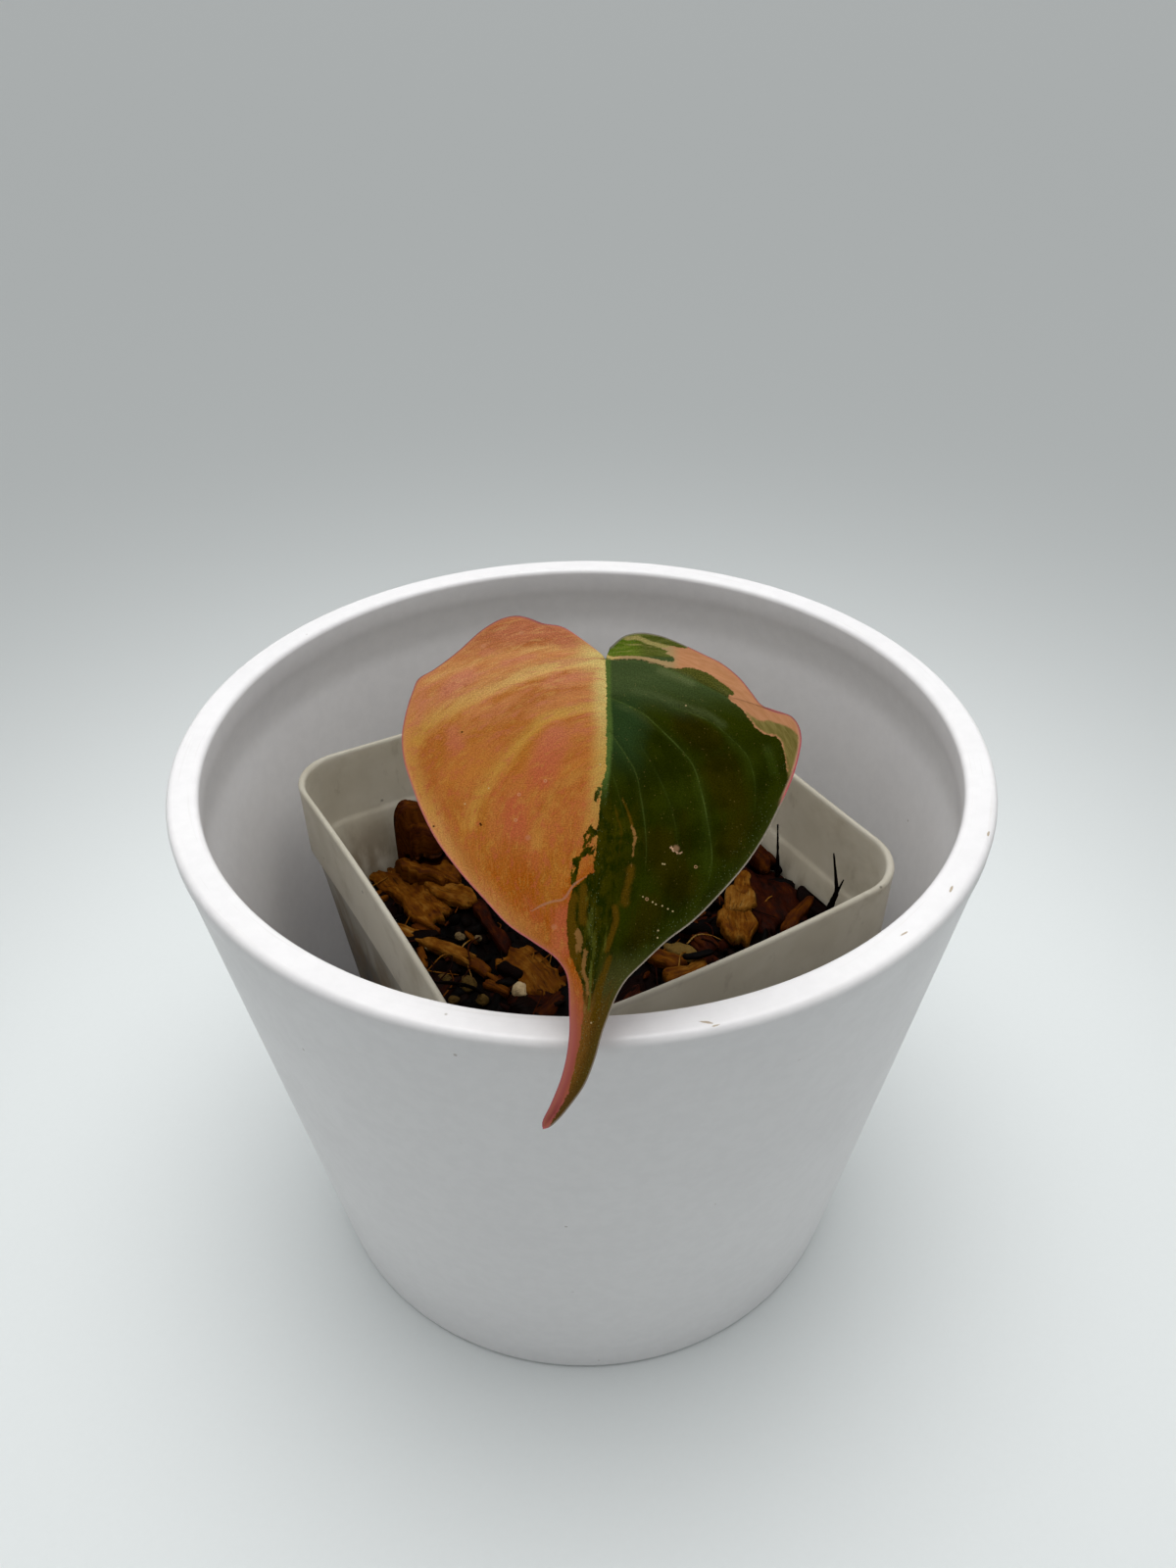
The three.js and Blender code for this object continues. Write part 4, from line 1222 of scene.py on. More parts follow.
# Soft strokes by what they colour: a line, its half width and its strength
STROKES = {
    "band": [
        ([(-0.4, 0.2), (-5.3, 1.1), (-8.2, 1.8), (-12, 3.1)], 0.9, 1.0),
        ([(-8.2, 1.8), (-12, 3.1), (-13.9, 4.1), (-17.7, 5.5), (-20.9, 7)], 1.2, 0.75),
        ([(-17.7, 5.5), (-20.9, 7), (-23.7, 8.7), (-25.4, 11)], 1.7, 0.75),
        ([(-5.3, -1.5), (-10.1, -1.6), (-14, -1.2), (-17.8, -0.3), (-23.7, 1.4)], 1.0, 0.45),
        ([(-0.6, 7.4), (-4.4, 8.6), (-8.1, 9.7), (-10, 11.4), (-11.8, 13.2)], 1.0, 0.85),
        ([(-11.8, 13.2), (-13.1, 15.1), (-14.5, 17), (-15.8, 18.9), (-17.2, 20.9),
          (-17.9, 24)], 1.35, 0.62),
        ([(-17.9, 23), (-17.4, 27), (-16, 31)], 1.0, 0.3),
        ([(-0.8, 16.2), (-3.5, 17.9), (-6.3, 19.9), (-7.9, 22.2), (-9, 25), (-9.6, 28)], 1.0, 0.42),
        ([(-0.7, 20.5), (-2.6, 24.4), (-4, 27.2), (-4.9, 30.9)], 0.9, 0.3),
        ([(-26, 11), (-26.2, 14), (-25, 18), (-23, 22)], 1.6, 0.5),
    ],
    # painted shade: brown strokes beside the yellow bands
    "shade": [
        ([(-7.4, 11), (-10, 13.2), (-11.4, 15.4), (-12.2, 17)], 1.3, 0.9),
        ([(-20, 8.2), (-21.7, 10), (-22.4, 12.4), (-22.4, 15)], 1.3, 0.7),
        ([(-16.4, 21.5), (-16.4, 24.7), (-16, 28)], 1.0, 0.9),
        ([(-10, 10.3), (-12.8, 10.5), (-15.6, 10.9), (-18, 12)], 1.1, 0.7),
        ([(-8.4, 3.6), (-10.4, 3.8), (-12.3, 4.9), (-15, 6.6)], 0.8, 0.8),
        ([(-20.6, 19), (-20, 22.4), (-18.6, 25), (-15.5, 29)], 1.4, 0.6),
        ([(-7.6, 30), (-8.4, 33), (-8, 35)], 1.8, 0.8),
        ([(-13.5, 30), (-12.5, 34)], 1.5, 0.5),
        ([(-5.6, 24.5), (-6.4, 28)], 1.0, 0.5),
    ],
    "blush": [
        ([(-6.8, 12.4), (-7.8, 14.6), (-8.6, 18)], 2.2, 1.0), ([(-12.1, 22), (-12, 25.6)], 2.2, 0.9),
        ([(-5, -3.2), (-8, -4.4), (-13.5, -4.6)], 2.0, 0.8), ([(-19, 1.8), (-21.6, 4)], 1.9, 0.9),
        ([(-20.8, 10.6), (-20.2, 12.8)], 1.5, 0.8), ([(-3.2, 2.6), (-8, 4.4)], 1.3, 0.7),
        ([(-3.6, 11), (-5, 12)], 1.2, 0.5), ([(-10, 27), (-9.6, 30)], 1.6, 0.5),
        ([(-6, 36.5), (-6.2, 41)], 1.6, 0.9), ([(-25.4, 5), (-25.6, 8)], 1.4, 0.6),
        ([(-9.8, -0.4), (-14, 0.6)], 0.9, 0.6), ([(-10.6, 34.6), (-9.2, 37.4)], 1.5, 0.5),
        ([(-3, 21.5), (-3.6, 23.6)], 1.0, 0.5), ([(-13.4, 7.6), (-16, 8.8)], 1.2, 0.4),
    ],
    "veil": [
        ([(7.6, 2.4), (9.6, 3.1), (11.4, 4.1)], 1.0, 0.95), ([(3.6, 3.2), (6.6, 3.4)], 1.3, 0.35),
        ([(3.8, 5.6), (6.3, 6.2), (9.9, 7.9), (13.5, 9.3), (15.4, 10.6)], 0.9, 0.6),
        ([(2, 8), (4.2, 9.5), (6, 11.6)], 1.1, 0.45), ([(16.4, 12.8), (18, 15), (18.8, 18)], 1.2, 0.4),
        ([(21.4, 13.6), (22, 17)], 1.0, 0.7), ([(11.6, 19), (12.2, 24), (12.4, 31)], 1.1, 0.5),
        ([(9, 17), (9.5, 22)], 1.6, 0.3), ([(18.4, 26.4), (14.4, 31.4), (9.6, 36)], 1.0, 0.35),
        ([(14.6, 4), (17, 6.6)], 0.7, 0.4), ([(4.4, 41), (1.6, 43.6)], 1.2, 0.6),
    ],
    "umber": [
        ([(10.6, 10.6), (13.4, 13.2)], 2.4, 1.0), ([(14.8, 17), (16, 21)], 3.2, 1.0),
        ([(17, 24), (15.5, 28)], 2.6, 0.8), ([(6.4, 27.5), (8.6, 33)], 2.8, 1.0),
        ([(5, 36), (3.4, 40)], 2.4, 0.8), ([(9.4, 24), (9.8, 28)], 1.6, 0.5),
    ],
    "salmon": [
        ([(2.9, 25.2), (3.3, 26.4), (3.1, 27.9)], 0.24, 0.95),
        ([(3.1, 27.9), (3, 29), (2.7, 30.6)], 0.15, 0.7),
        ([(2.1, 26.7), (2.4, 27.6)], 0.14, 0.6), ([(-4.2, 38.9), (-3.9, 39.9), (-4.1, 40.9)], 0.52, 1.0),
        ([(-3.2, 41.1), (-3.4, 42.5), (-3.5, 43.7), (-3.1, 44.8), (-2.9, 46.4)], 0.32, 0.95),
        ([(-3.4, 47.2), (-3.4, 49.6)], 0.25, 0.6),
    ],
    "brown": [
        ([(0.5, 35.7), (0.6, 36.8), (0.4, 38.3), (-0.1, 39.8), (-0.5, 41)], 0.5, 1.0),
        ([(1.8, 21.3), (2.4, 22.9), (3, 25)], 0.22, 0.9),
        ([(2.6, 30.6), (2.4, 32), (1.8, 35)], 0.75, 0.8),
        ([(0.7, 22), (1.5, 25.4)], 0.3, 0.5),
        ([(-4.7, 34.4), (-5, 37), (-4.8, 40), (-4.4, 42.4)], 0.85, 1.0),
        ([(-3.3, 33.2), (-3.6, 37.4)], 0.8, 0.9), ([(-4, 41.6), (-3.7, 44.4)], 0.5, 0.8),
        ([(-0.3, 42), (-0.9, 43.9), (-1.5, 45.4), (-1.7, 47.4), (-2.3, 49.5)], 0.5, 1.0),
        ([(1.6, 26), (1.2, 29)], 0.4, 0.5),
    ],
    "lime": [
        ([(-2.4, 36), (-2.5, 38.6), (-2.2, 42)], 0.62, 0.62),
        ([(-2.5, 42.6), (-2.7, 45.9), (-2.9, 48.4)], 0.22, 0.9),
        ([(-2.5, 32.4), (-2.9, 34.6)], 0.3, 0.5), ([(-0.6, 38), (-0.9, 41)], 0.5, 0.4),
    ],
    "tan": [
        ([(3, -3.1), (4.4, -3.2), (6, -2.4), (8, -1.8), (9.6, -1.4)], 0.42, 1.1),
        ([(2.6, -2.2), (4.6, -2.1), (6.4, -1.7)], 0.2, 0.55), ([(1.5, -1), (3.6, -1)], 0.18, 0.4),
    ],
}

# Where green meets orange, from the stalk to the tip
COLOUR_EDGE = [
    (-0.1, -0.3), (0, 4.4), (-0.1, 9.8), (-0.2, 15), (-0.3, 17.1), (-0.9, 19.2), (-1, 20.9),
    (-1.2, 22.6), (-1.4, 24.3), (-1.6, 26.3), (-1.8, 28.6), (-2.1, 30.2), (-1.9, 31.1),
    (-2.8, 31.4), (-3.4, 32.1), (-4.8, 33.4), (-5.2, 34.9), (-5.5, 36.5), (-5.6, 37.9),
    (-5.5, 39.2), (-5.3, 40.8), (-4.9, 42.3), (-4.3, 43.7), (-3.7, 45.2), (-3.5, 47.3),
    (-3.6, 48.9), (-3.8, 50.8), (-4.1, 52.5), (-4.5, 54.1), (-5, 56.3), (-5.5, 58.3),
    (-6.6, 60.1), (-8, 62.4)]

# Upper edge of the green field, from the stalk towards the right margin
GREEN_TOP = [
    (0.5, 0.1), (1.7, 0.3), (3.8, 0.35), (5.3, 0.65), (6.8, 1.2), (8.2, 1.8), (9.9, 2.1), (10.9, 1.7),
    (12.4, 1.9), (13.6, 2.4), (14.6, 3.1), (15.7, 4), (16.7, 4.8), (17.4, 5.6), (17.1, 5.95),
    (16.5, 5.9), (16.6, 6.3), (17.6, 7.3), (18.6, 8.4), (19.1, 9.3), (19.9, 10.6), (20.8, 11.3),
    (22, 11.6), (22.6, 11.4), (23.4, 12.3), (23.8, 14.7), (23.8, 17.6), (24.8, 16), (25.6, 15.4)]

# Places past the right margin that close the green field
GREEN_BEYOND = [(30, 64), (30, 20.5)]

# The bright green patch on the right lobe, which runs past its margin
LOBE_PATCH = [
    (0.1, -0.6), (0.2, -4), (4.8, -6), (12, -3.4), (11.2, -1.5), (9, -1.9), (7.6, -1.5), (8.6, -1),
    (7.9, -0.6), (8.6, -0.45), (8.8, -0.2), (9.4, 0.1), (9.3, 1), (8, 0.8), (6.5, 0.4), (4.3, -0.1),
    (2.1, -0.2), (0.8, -0.1)]

# The olive band above the light line of the green half
OUTER_OLIVE = [
    (6.8, 1.3), (9.4, 2.6), (10.8, 3.4), (12.3, 4.1), (13.7, 4.8), (14.9, 5.4), (16.5, 6.4), (18, 5.4),
    (14, 1), (9, 1)]

# Ragged green flecks left of the midrib, and the yellow gaps in them
GREEN_FLECKS = [
    [(-0.8, 19), (-1, 20.2), (-1.5, 21.7), (-1.9, 21.7), (-1.8, 20.6), (-1.3, 19.6)],
    [(-2.2, 24.5), (-2, 25.4), (-1.4, 25.3), (-1.5, 26.3), (-2.1, 26.4), (-2.4, 27.2), (-3.4, 27.1),
     (-3.3, 26), (-2.7, 25.4)],
    [(-3.1, 27.8), (-1.7, 27.6), (-2, 28.7), (-3.2, 29), (-3.7, 29.4), (-4, 30.8), (-4.3, 32.4),
     (-4.9, 33), (-5, 31.5), (-4.7, 29.2), (-3.9, 29.1), (-3.6, 28.5)],
    [(-3.3, 27), (-3, 27), (-3.1, 28), (-3.5, 28)],
]
FLECK_HOLES = [
    [(-2.9, 26.1), (-2.5, 26), (-2.6, 26.7), (-3, 26.7)],
    [(-2.4, 28.1), (-2.1, 28.05), (-2.15, 28.4), (-2.4, 28.4)],
    [(-4.6, 30.3), (-4.4, 30.2), (-4.5, 31.1), (-4.7, 31.1)],
]

# The tan and olive corner at the right margin
OLIVE_CORNER = [
    (18.2, 7.6), (19.9, 9), (21, 9.5), (21.7, 9.1), (23.5, 9.5), (25.2, 10.1), (26, 11),
    (25.8, 13.6), (25.2, 15.3), (24.5, 16.8), (23.8, 17.8), (23.8, 14.7), (23.4, 12.2), (22.5, 11.3),
    (21.5, 11.5), (20.2, 10.7), (19, 9.1)]

# Blemishes
SCRATCH = [(-9.9, 36.1), (-8.7, 35.4), (-7.3, 34.9), (-5.9, 34.6), (-4.7, 32.9), (-4, 32.3), (-2.8, 31.5)]
SCAR = [(7.8, 27.9), (8, 28.4), (8.4, 28.7), (8.9, 28.85), (9.4, 28.7)]
# Soft round spots: half width, strength, tint and places
SPOTS = [
    (0.36, 0.34, (0.420, 0.190, 0.110), [(-7.1, 38.1), (-16.9, -2.7), (-11.6, -4.4), (-10.4, 26.5)]),
    (0.15, 0.95, (0.020, 0.006, 0.002), [(-19.4, 10.9), (-16.6, 24.3), (-16.5, 24.5), (-22.8, 24.1)]),
    (0.25, 0.40, (0.230, 0.060, 0.030), [
        (-20.9, 2.9), (-22, 3.6), (-21.7, 4.3), (-25.2, 9.6), (-19.2, 3.6)]),
    (0.11, 0.85, (0.400, 0.310, 0.160), [
        (6.7, 30.2), (6.95, 30.25), (4.1, 34.4), (5.3, 35.1), (5.7, 35.4), (6.5, 35.6), (7.2, 36),
        (7.8, 36.3), (5.9, 38.7), (5.8, 39.6), (-2.6, 49.9), (-18.7, 21.4), (-1, 16.4), (10.6, 7.9),
        (-15.6, 19.4)]),
    (0.42, 0.75, (0.230, 0.130, 0.070), [(8.5, 28.15)]),
]
RING_RADIUS = 0.17
PALE_RINGS = [(4.6, 34.7), (-8.2, 18.8), (-12, 24.1), (-11.6, 20.6), (10.9, 30.6)]


def flow_coordinate(flat):
    """Which side vein a flat place lies on, told by where that vein leaves the midrib."""
    across, along = flat.T
    span = 18.0
    low, high = np.full(len(flat), -40.0), np.minimum(along, 60.0)
    for _ in range(40):
        middle = (low + high) / 2
        widest = np.where(across < 0, 26.5 - 1.15 * middle, 23.5 - 1.6 * middle)
        share = np.clip((along - middle) / span, 1e-6, 2.2)
        reach = np.maximum(widest, 0.5) * np.sin(math.pi / 2 * share**0.66)
        outside = np.abs(across) > reach
        high = np.where(outside, middle, high)
        low = np.where(outside, low, middle)
    return (low + high) / 2


def signed_reach(points, line, taper=(0.0, 0.0)):
    """Distance to a polyline, with the side as its sign, grown near ends that taper this far."""
    best = np.full(len(points), 1e9)
    side = np.ones(len(points))
    at = np.zeros(len(points))
    gone = 0.0
    for a, b in zip(line[:-1], line[1:]):
        run = b - a
        length = max(np.hypot(*run), 1e-9)
        share = np.clip(((points - a) @ run) / length**2, 0, 1)
        off = points - a - share[:, None] * run
        reach = np.hypot(*off.T)
        nearer = reach < best
        best = np.where(nearer, reach, best)
        side = np.where(nearer, np.sign(run[0] * off[:, 1] - run[1] * off[:, 0]), side)
        at = np.where(nearer, gone + share * length, at)
        gone += length
    side = np.where((at < 1e-6) | (at > gone - 1e-6), 1, side)
    start, end = np.maximum(taper, 1e-6)
    width = np.clip(np.minimum(0.35 + at / start, (gone - at) / end), 0.03, 1)
    return side * best / width


def strokes(flat, table):
    """The strongest of soft strokes, each a line, a half width and a strength, at flat places."""
    total = np.zeros(len(flat))
    for line, half, strength in table:
        path = curve_samples(line, 4)
        total = np.maximum(total, strength * np.exp(-((distance_to(flat, path) / half) ** 2)))
    return total


def leaf_fields(flat):
    """The named values that the leaf's colours are drawn from."""
    across, along = flat.T
    greens = [COLOUR_EDGE + GREEN_BEYOND + GREEN_TOP[::-1], LOBE_PATCH, *GREEN_FLECKS]
    green = np.maximum.reduce([inside_distance(flat, patch) for patch in greens])
    holes = np.maximum.reduce([inside_distance(flat, hole) for hole in FLECK_HOLES])
    rim = np.vstack([curve_samples(LEFT_OUTLINE, 6), curve_samples(RIGHT_OUTLINE, 6)[::-1]])
    to_rim = distance_to(flat, rim)
    middle = signed_reach(flat, curve_samples(MIDRIB, 8))
    none = np.zeros(len(flat))
    fields = {
        "green": np.minimum(green, -holes),
        "rim": to_rim,
        "olive": inside_distance(flat, OLIVE_CORNER),
        "outer_olive": inside_distance(flat, OUTER_OLIVE),
        "corner_red": np.where(across > 20, 6.5 - np.hypot(across - 25.5, (along - 15.5) / 1.3), 0),
        "midrib": np.abs(middle),
        "lane": np.column_stack([-middle / (np.abs(middle) + to_rim + 1e-6), along, none]),
        "flow": np.column_stack([flow_coordinate(flat), along, across * 0.15]),
        "flat": np.column_stack([flat, none]),
        "scratch": signed_reach(flat, curve_samples(SCRATCH, 4), taper=(2.0, 2.0)),
        "scar": distance_to(flat, curve_samples(SCAR, 4)),
    }
    for name, table in STROKES.items():
        fields[name] = strokes(flat, table)
    veins = [
        signed_reach(flat, curve_samples(line, 6), taper=(1.0, 9.0)) for line, _ in GREEN_VEINS]
    for number, vein in enumerate(veins):
        fields[f"vein_{number}"] = vein
    fields["fine_vein"] = np.minimum.reduce(np.abs(veins))
    return fields


def side_grid(outline):
    """Flat places from the midrib to one margin, column by column."""
    shares = np.linspace(0, 1, LEAF_COLUMNS + 1)
    start = (np.maximum(shares - BARE_SHARE, 0) / (1 - BARE_SHARE)) ** 1.6
    roots = at_shares(MIDRIB, start)
    ends = at_shares(outline, shares)
    out = (np.arange(LEAF_ROWS + 1) / LEAF_ROWS) ** 1.15
    grid = roots[:, None, :] + (ends - roots)[:, None, :] * out[None, :, None]
    share = np.repeat(shares, LEAF_ROWS + 1)
    return grid.reshape(-1, 2), share, np.tile(out, LEAF_COLUMNS + 1)


def leaf_relief(fields, along):
    """Height of the upper surface over the plain bent blade."""
    fade = 1 - smooth_step(along, 36, 50)
    hollow = -0.16 * np.exp(-((fields["fine_vein"] / 0.45) ** 2)) * (fields["green"] > 0)
    valley = -0.22 * fields["band"] * (fields["green"] <= 0)
    groove = -0.30 * np.exp(-((fields["midrib"] / 0.55) ** 2))
    swell = 0.16 * soft_noise(fields["flow"] * (1.0, 0.35, 1.0), 2.6, 3)
    fine = 0.035 * soft_noise(fields["flow"] * (1.0, 0.22, 1.0), 0.7, 4)
    return fade * (hollow + valley + swell) + groove * (1 - 0.5 * smooth_step(along, 40, 60)) + fine


def make_leaf():
    tops, unders, flats, faces, slots = [], [], [], [], []
    half_size = (LEAF_COLUMNS + 1) * (LEAF_ROWS + 1)
    for start, outline, side in ((0, LEFT_OUTLINE, -1), (half_size, RIGHT_OUTLINE, 1)):
        flat, share, outward = side_grid(outline)
        fields = leaf_fields(flat)
        wave = MARGIN_WAVE * outward**4 * np.sin(share * WAVE_TURNS + side) * (1 - share)
        relief = leaf_relief(fields, flat[:, 1])
        inset = smooth_step(fields["rim"], 0, 1.2)
        rib = (1 - share) * np.exp(-((fields["midrib"] / 0.75) ** 2))
        veins = np.exp(-((fields["fine_vein"] / 0.4) ** 2)) + 0.6 * fields["band"]
        thickness = 0.30 + 0.18 * inset + 0.75 * rib + 0.12 * inset * np.minimum(veins, 1)
        tops.append(blade_points(*flat.T, wave + relief * inset))
        unders.append(blade_points(*flat.T, wave + 0.4 * relief * inset - thickness))
        flats.append(flat)
        upper, rim = grid_triangles(side > 0)
        lower = upper[:, ::-1] + 2 * half_size
        edge = rim_triangles(rim, 2 * half_size)
        faces += [upper + start, lower + start, edge + start]
        slots += [0] * len(upper) + [1] * len(lower) + [0] * len(edge)
    points = np.vstack(tops + unders)
    kept, triangles, left = merge_points(points, np.vstack(faces))
    mesh_piece(
        "leaf", points[kept], triangles, [leaf_material(), leaf_underside()], ["leaf_blade"],
        leaf_fields(np.vstack(flats + flats)[kept]), np.array(slots)[left])


def grid_triangles(mirrored):
    """Upper side triangles of one half, and its rim from the stalk round to the tip."""
    c, r = np.meshgrid(np.arange(LEAF_COLUMNS), np.arange(LEAF_ROWS), indexing="ij")
    row = LEAF_ROWS + 1
    p = (c * row + r).ravel()
    q, w, v = p + 1, p + row, p + row + 1
    quads = np.vstack([np.column_stack([p, q, v]), np.column_stack([p, v, w])])
    rim = np.concatenate([np.arange(row), np.arange(1, LEAF_COLUMNS + 1) * row + LEAF_ROWS])
    return (quads[:, ::-1], rim) if mirrored else (quads, rim[::-1])


def rim_triangles(rim, under):
    a, b = rim[:-1], rim[1:]
    return np.vstack([
        np.column_stack([a, b + under, b]), np.column_stack([a, a + under, b + under])])


class LeafPaint(Paint):
    """The paint of the blade's upper side, with the values that its colours share."""

    def __init__(self):
        super().__init__("leaf_upper_side")
        self.flow, self.flat, self.lane = map(self.vector_field, ("flow", "flat", "lane"))
        self.x, self.y, _ = self.axes(self.flat)
        self.rim, self.midrib = self.field("rim"), self.field("midrib")
        self.silk = self.noise(self.stretch(self.flow, (1, 0.08, 1)), 3.4, 6, 0.62)
        self.cloud = self.noise(self.stretch(self.flow, (1, 0.45, 1)), 0.34, 4)
        self.fleck = self.noise(self.flat, 5, 4, 0.6)
        self.fibre = self.noise(self.stretch(self.lane, (6, 0.22, 1)), 1.6, 5, 0.65)

    def uneven(self, value, silk=0.0, cloud=0.0):
        """A value made uneven by this much of the silky and the cloudy noise."""
        if silk:
            value = value + (self.silk - 0.5) * silk
        if cloud:
            value = value + (self.cloud - 0.5) * cloud
        return value


def leaf_material():
    leaf = LeafPaint()
    silk, rim, flat = leaf.silk, leaf.rim, leaf.flat
    ragged = leaf.noise(leaf.stretch(leaf.flow, (1, 0.22, 1)), 1.7, 5, 0.6)
    crumbly = leaf.noise(flat, 2.6, 3, 0.6)
    wander = (ragged - 0.5) * 0.6 + (crumbly - 0.5) * 0.9
    light = leaf.mix((0.150, 0.080, 0.020), (0.270, 0.125, 0.040), leaf.fibre)
    streaked = leaf.mix((0.110, 0.088, 0.022), (0.165, 0.130, 0.038), silk, 0.36, 0.64)
    red = leaf.field("corner_red").ramp(0.3, 3, 0, 0.95)
    hairs = leaf.cells(flat, 2.1).ramp(0.10, 0.22, 0.20, 0)
    sparse = leaf.noise(flat, 0.9, 3).ramp(0.46, 0.66)
    colour = leaf.coats(orange_half(leaf), [
        (green_half(leaf), leaf.field("green") + wander * 0.75, -0.06, 0.10),
        (light, leaf.field("salmon") + wander * 1.5, 0.35, 0.75, 0, 0.85),
        (streaked, leaf.field("olive") + wander * 0.5, -0.10, 0.30),
        ((0.360, 0.200, 0.130), red * rim.ramp(0.25, 0.6, 0.8, 0)),
        ((0.340, 0.065, 0.080), red * rim.ramp(0.10, 0.32, 1, 0)),
        *leaf_marks(leaf),
        ((0.340, 0.240, 0.080), hairs * sparse)])
    height = silk * 0.7 + leaf.noise(flat, 9, 3, 0.6)
    return leaf.finish(
        Base_Color=colour, Roughness=0.5, Normal=leaf.normal(height, 0.06, 0.7),
        Specular_IOR_Level=0.0)


def orange_half(leaf):
    """Orange with yellow bands along the veins, pink blushes and painted brown shade under the bands."""
    x, y, rim, silk, cloud = leaf.x, leaf.y, leaf.rim, leaf.silk, leaf.cloud
    light = leaf.mix((0.400, 0.170, 0.055), (0.365, 0.140, 0.022), y, 2, 14)
    bright = leaf.mix((0.480, 0.240, 0.100), (0.420, 0.170, 0.036), y, 2, 14)
    yellow = leaf.mix((0.465, 0.285, 0.095), (0.370, 0.190, 0.034), y, 1, 12)
    pale = leaf.mix((0.470, 0.375, 0.130), (0.400, 0.255, 0.062), y, 4, 17)
    salmon = leaf.mix((0.330, 0.150, 0.066), (0.385, 0.180, 0.088), silk, 0.35, 0.65)
    pink = leaf.mix((0.400, 0.142, 0.078), (0.342, 0.078, 0.030), y, 3, 20)
    pink = leaf.mix(pink, (0.330, 0.108, 0.052), y, 0, -4)
    margin = x.ramp(-19, -22) * y.ramp(4, 11) + y.ramp(18, 24) * y.ramp(36, 42, 1, 0)
    edging = leaf.uneven(rim, 2.4).ramp(0.3, 3, 0.75, 0)
    strip = leaf.uneven(leaf.midrib, 1.8, 1.6).ramp(0.2, 2.7, 0.95, 0) * y.ramp(18, 31, 1, 0)
    fan = leaf.uneven(leaf.measure("DISTANCE", leaf.flat, (-0.6, -0.6, 0)), 3.5)
    thread = leaf.noise(leaf.stretch(leaf.flow, (1, 0.16, 1)), 8, 4, 0.62)
    mottle = leaf.noise(leaf.stretch(leaf.flow, (1, 0.5, 1)), 1.5, 3, 0.6)
    base = leaf.mix((0.375, 0.145, 0.050), (0.335, 0.112, 0.025), y, 4, 15)
    base = leaf.coats(base, [
        ((0.265, 0.064, 0.004), y, 24, 33),
        ((0.275, 0.088, 0.036), y, 0, -4.5),
        ((0.262, 0.072, 0.009), cloud, 0.34, 0.50, 0.55, 0),
        (light, cloud, 0.50, 0.66, 0, 0.50),
        # painted shade under the bands
        ((0.290, 0.098, 0.012), leaf.uneven(leaf.field("shade"), 0.7, 0.5), 0.15, 1, 0, 0.85),
        (pink, leaf.uneven(leaf.field("blush"), 0.6, 0.6), 0.12, 1, 0, 0.95),
        ((0.415, 0.195, 0.055), edging * margin),
        (yellow, leaf.uneven(leaf.field("band"), 0.75, 0.7), 0.08, 0.92),
        (pale, leaf.math("MAXIMUM", strip, fan.ramp(0.6, 5.2, 0.9, 0))),
        (bright, silk, 0.52, 0.78, 0, 0.48),
        ((0.250, 0.068, 0.009), silk, 0.22, 0.48, 0.46, 0),
        (bright, thread, 0.52, 0.74, 0, 0.42),
        ((0.262, 0.070, 0.014), thread, 0.26, 0.46, 0.34, 0),
        (pink, mottle, 0.52, 0.68, 0, 0.55),
        (yellow, mottle, 0.32, 0.47, 0.34, 0)])
    base = leaf.brighten(base, leaf.fleck.ramp(0.35, 0.65, 0.78, 1.20))
    outer = (rim + y * -0.02).ramp(-0.70, 0.35, 1, 0)
    return leaf.coats(base, [
        (salmon, x.ramp(4.5, 8) * y.ramp(24, 30, 1, 0)),
        ((0.270, 0.185, 0.085), x.ramp(8.5, 10.5, 1, 0) * x.ramp(0.8, 2.6)),
        ((0.300, 0.082, 0.042), y, 43, 53),
        ((0.300, 0.072, 0.072), outer * y.ramp(44, 52)),
        ((0.200, 0.042, 0.042), y, 58.5, 61.5, 0, 0.8),
        ((0.420, 0.170, 0.080), rim, 0.15, 0.90, 0.35, 0),
        ((0.310, 0.085, 0.100), rim, 0.05, 0.30, 0.85, 0)])


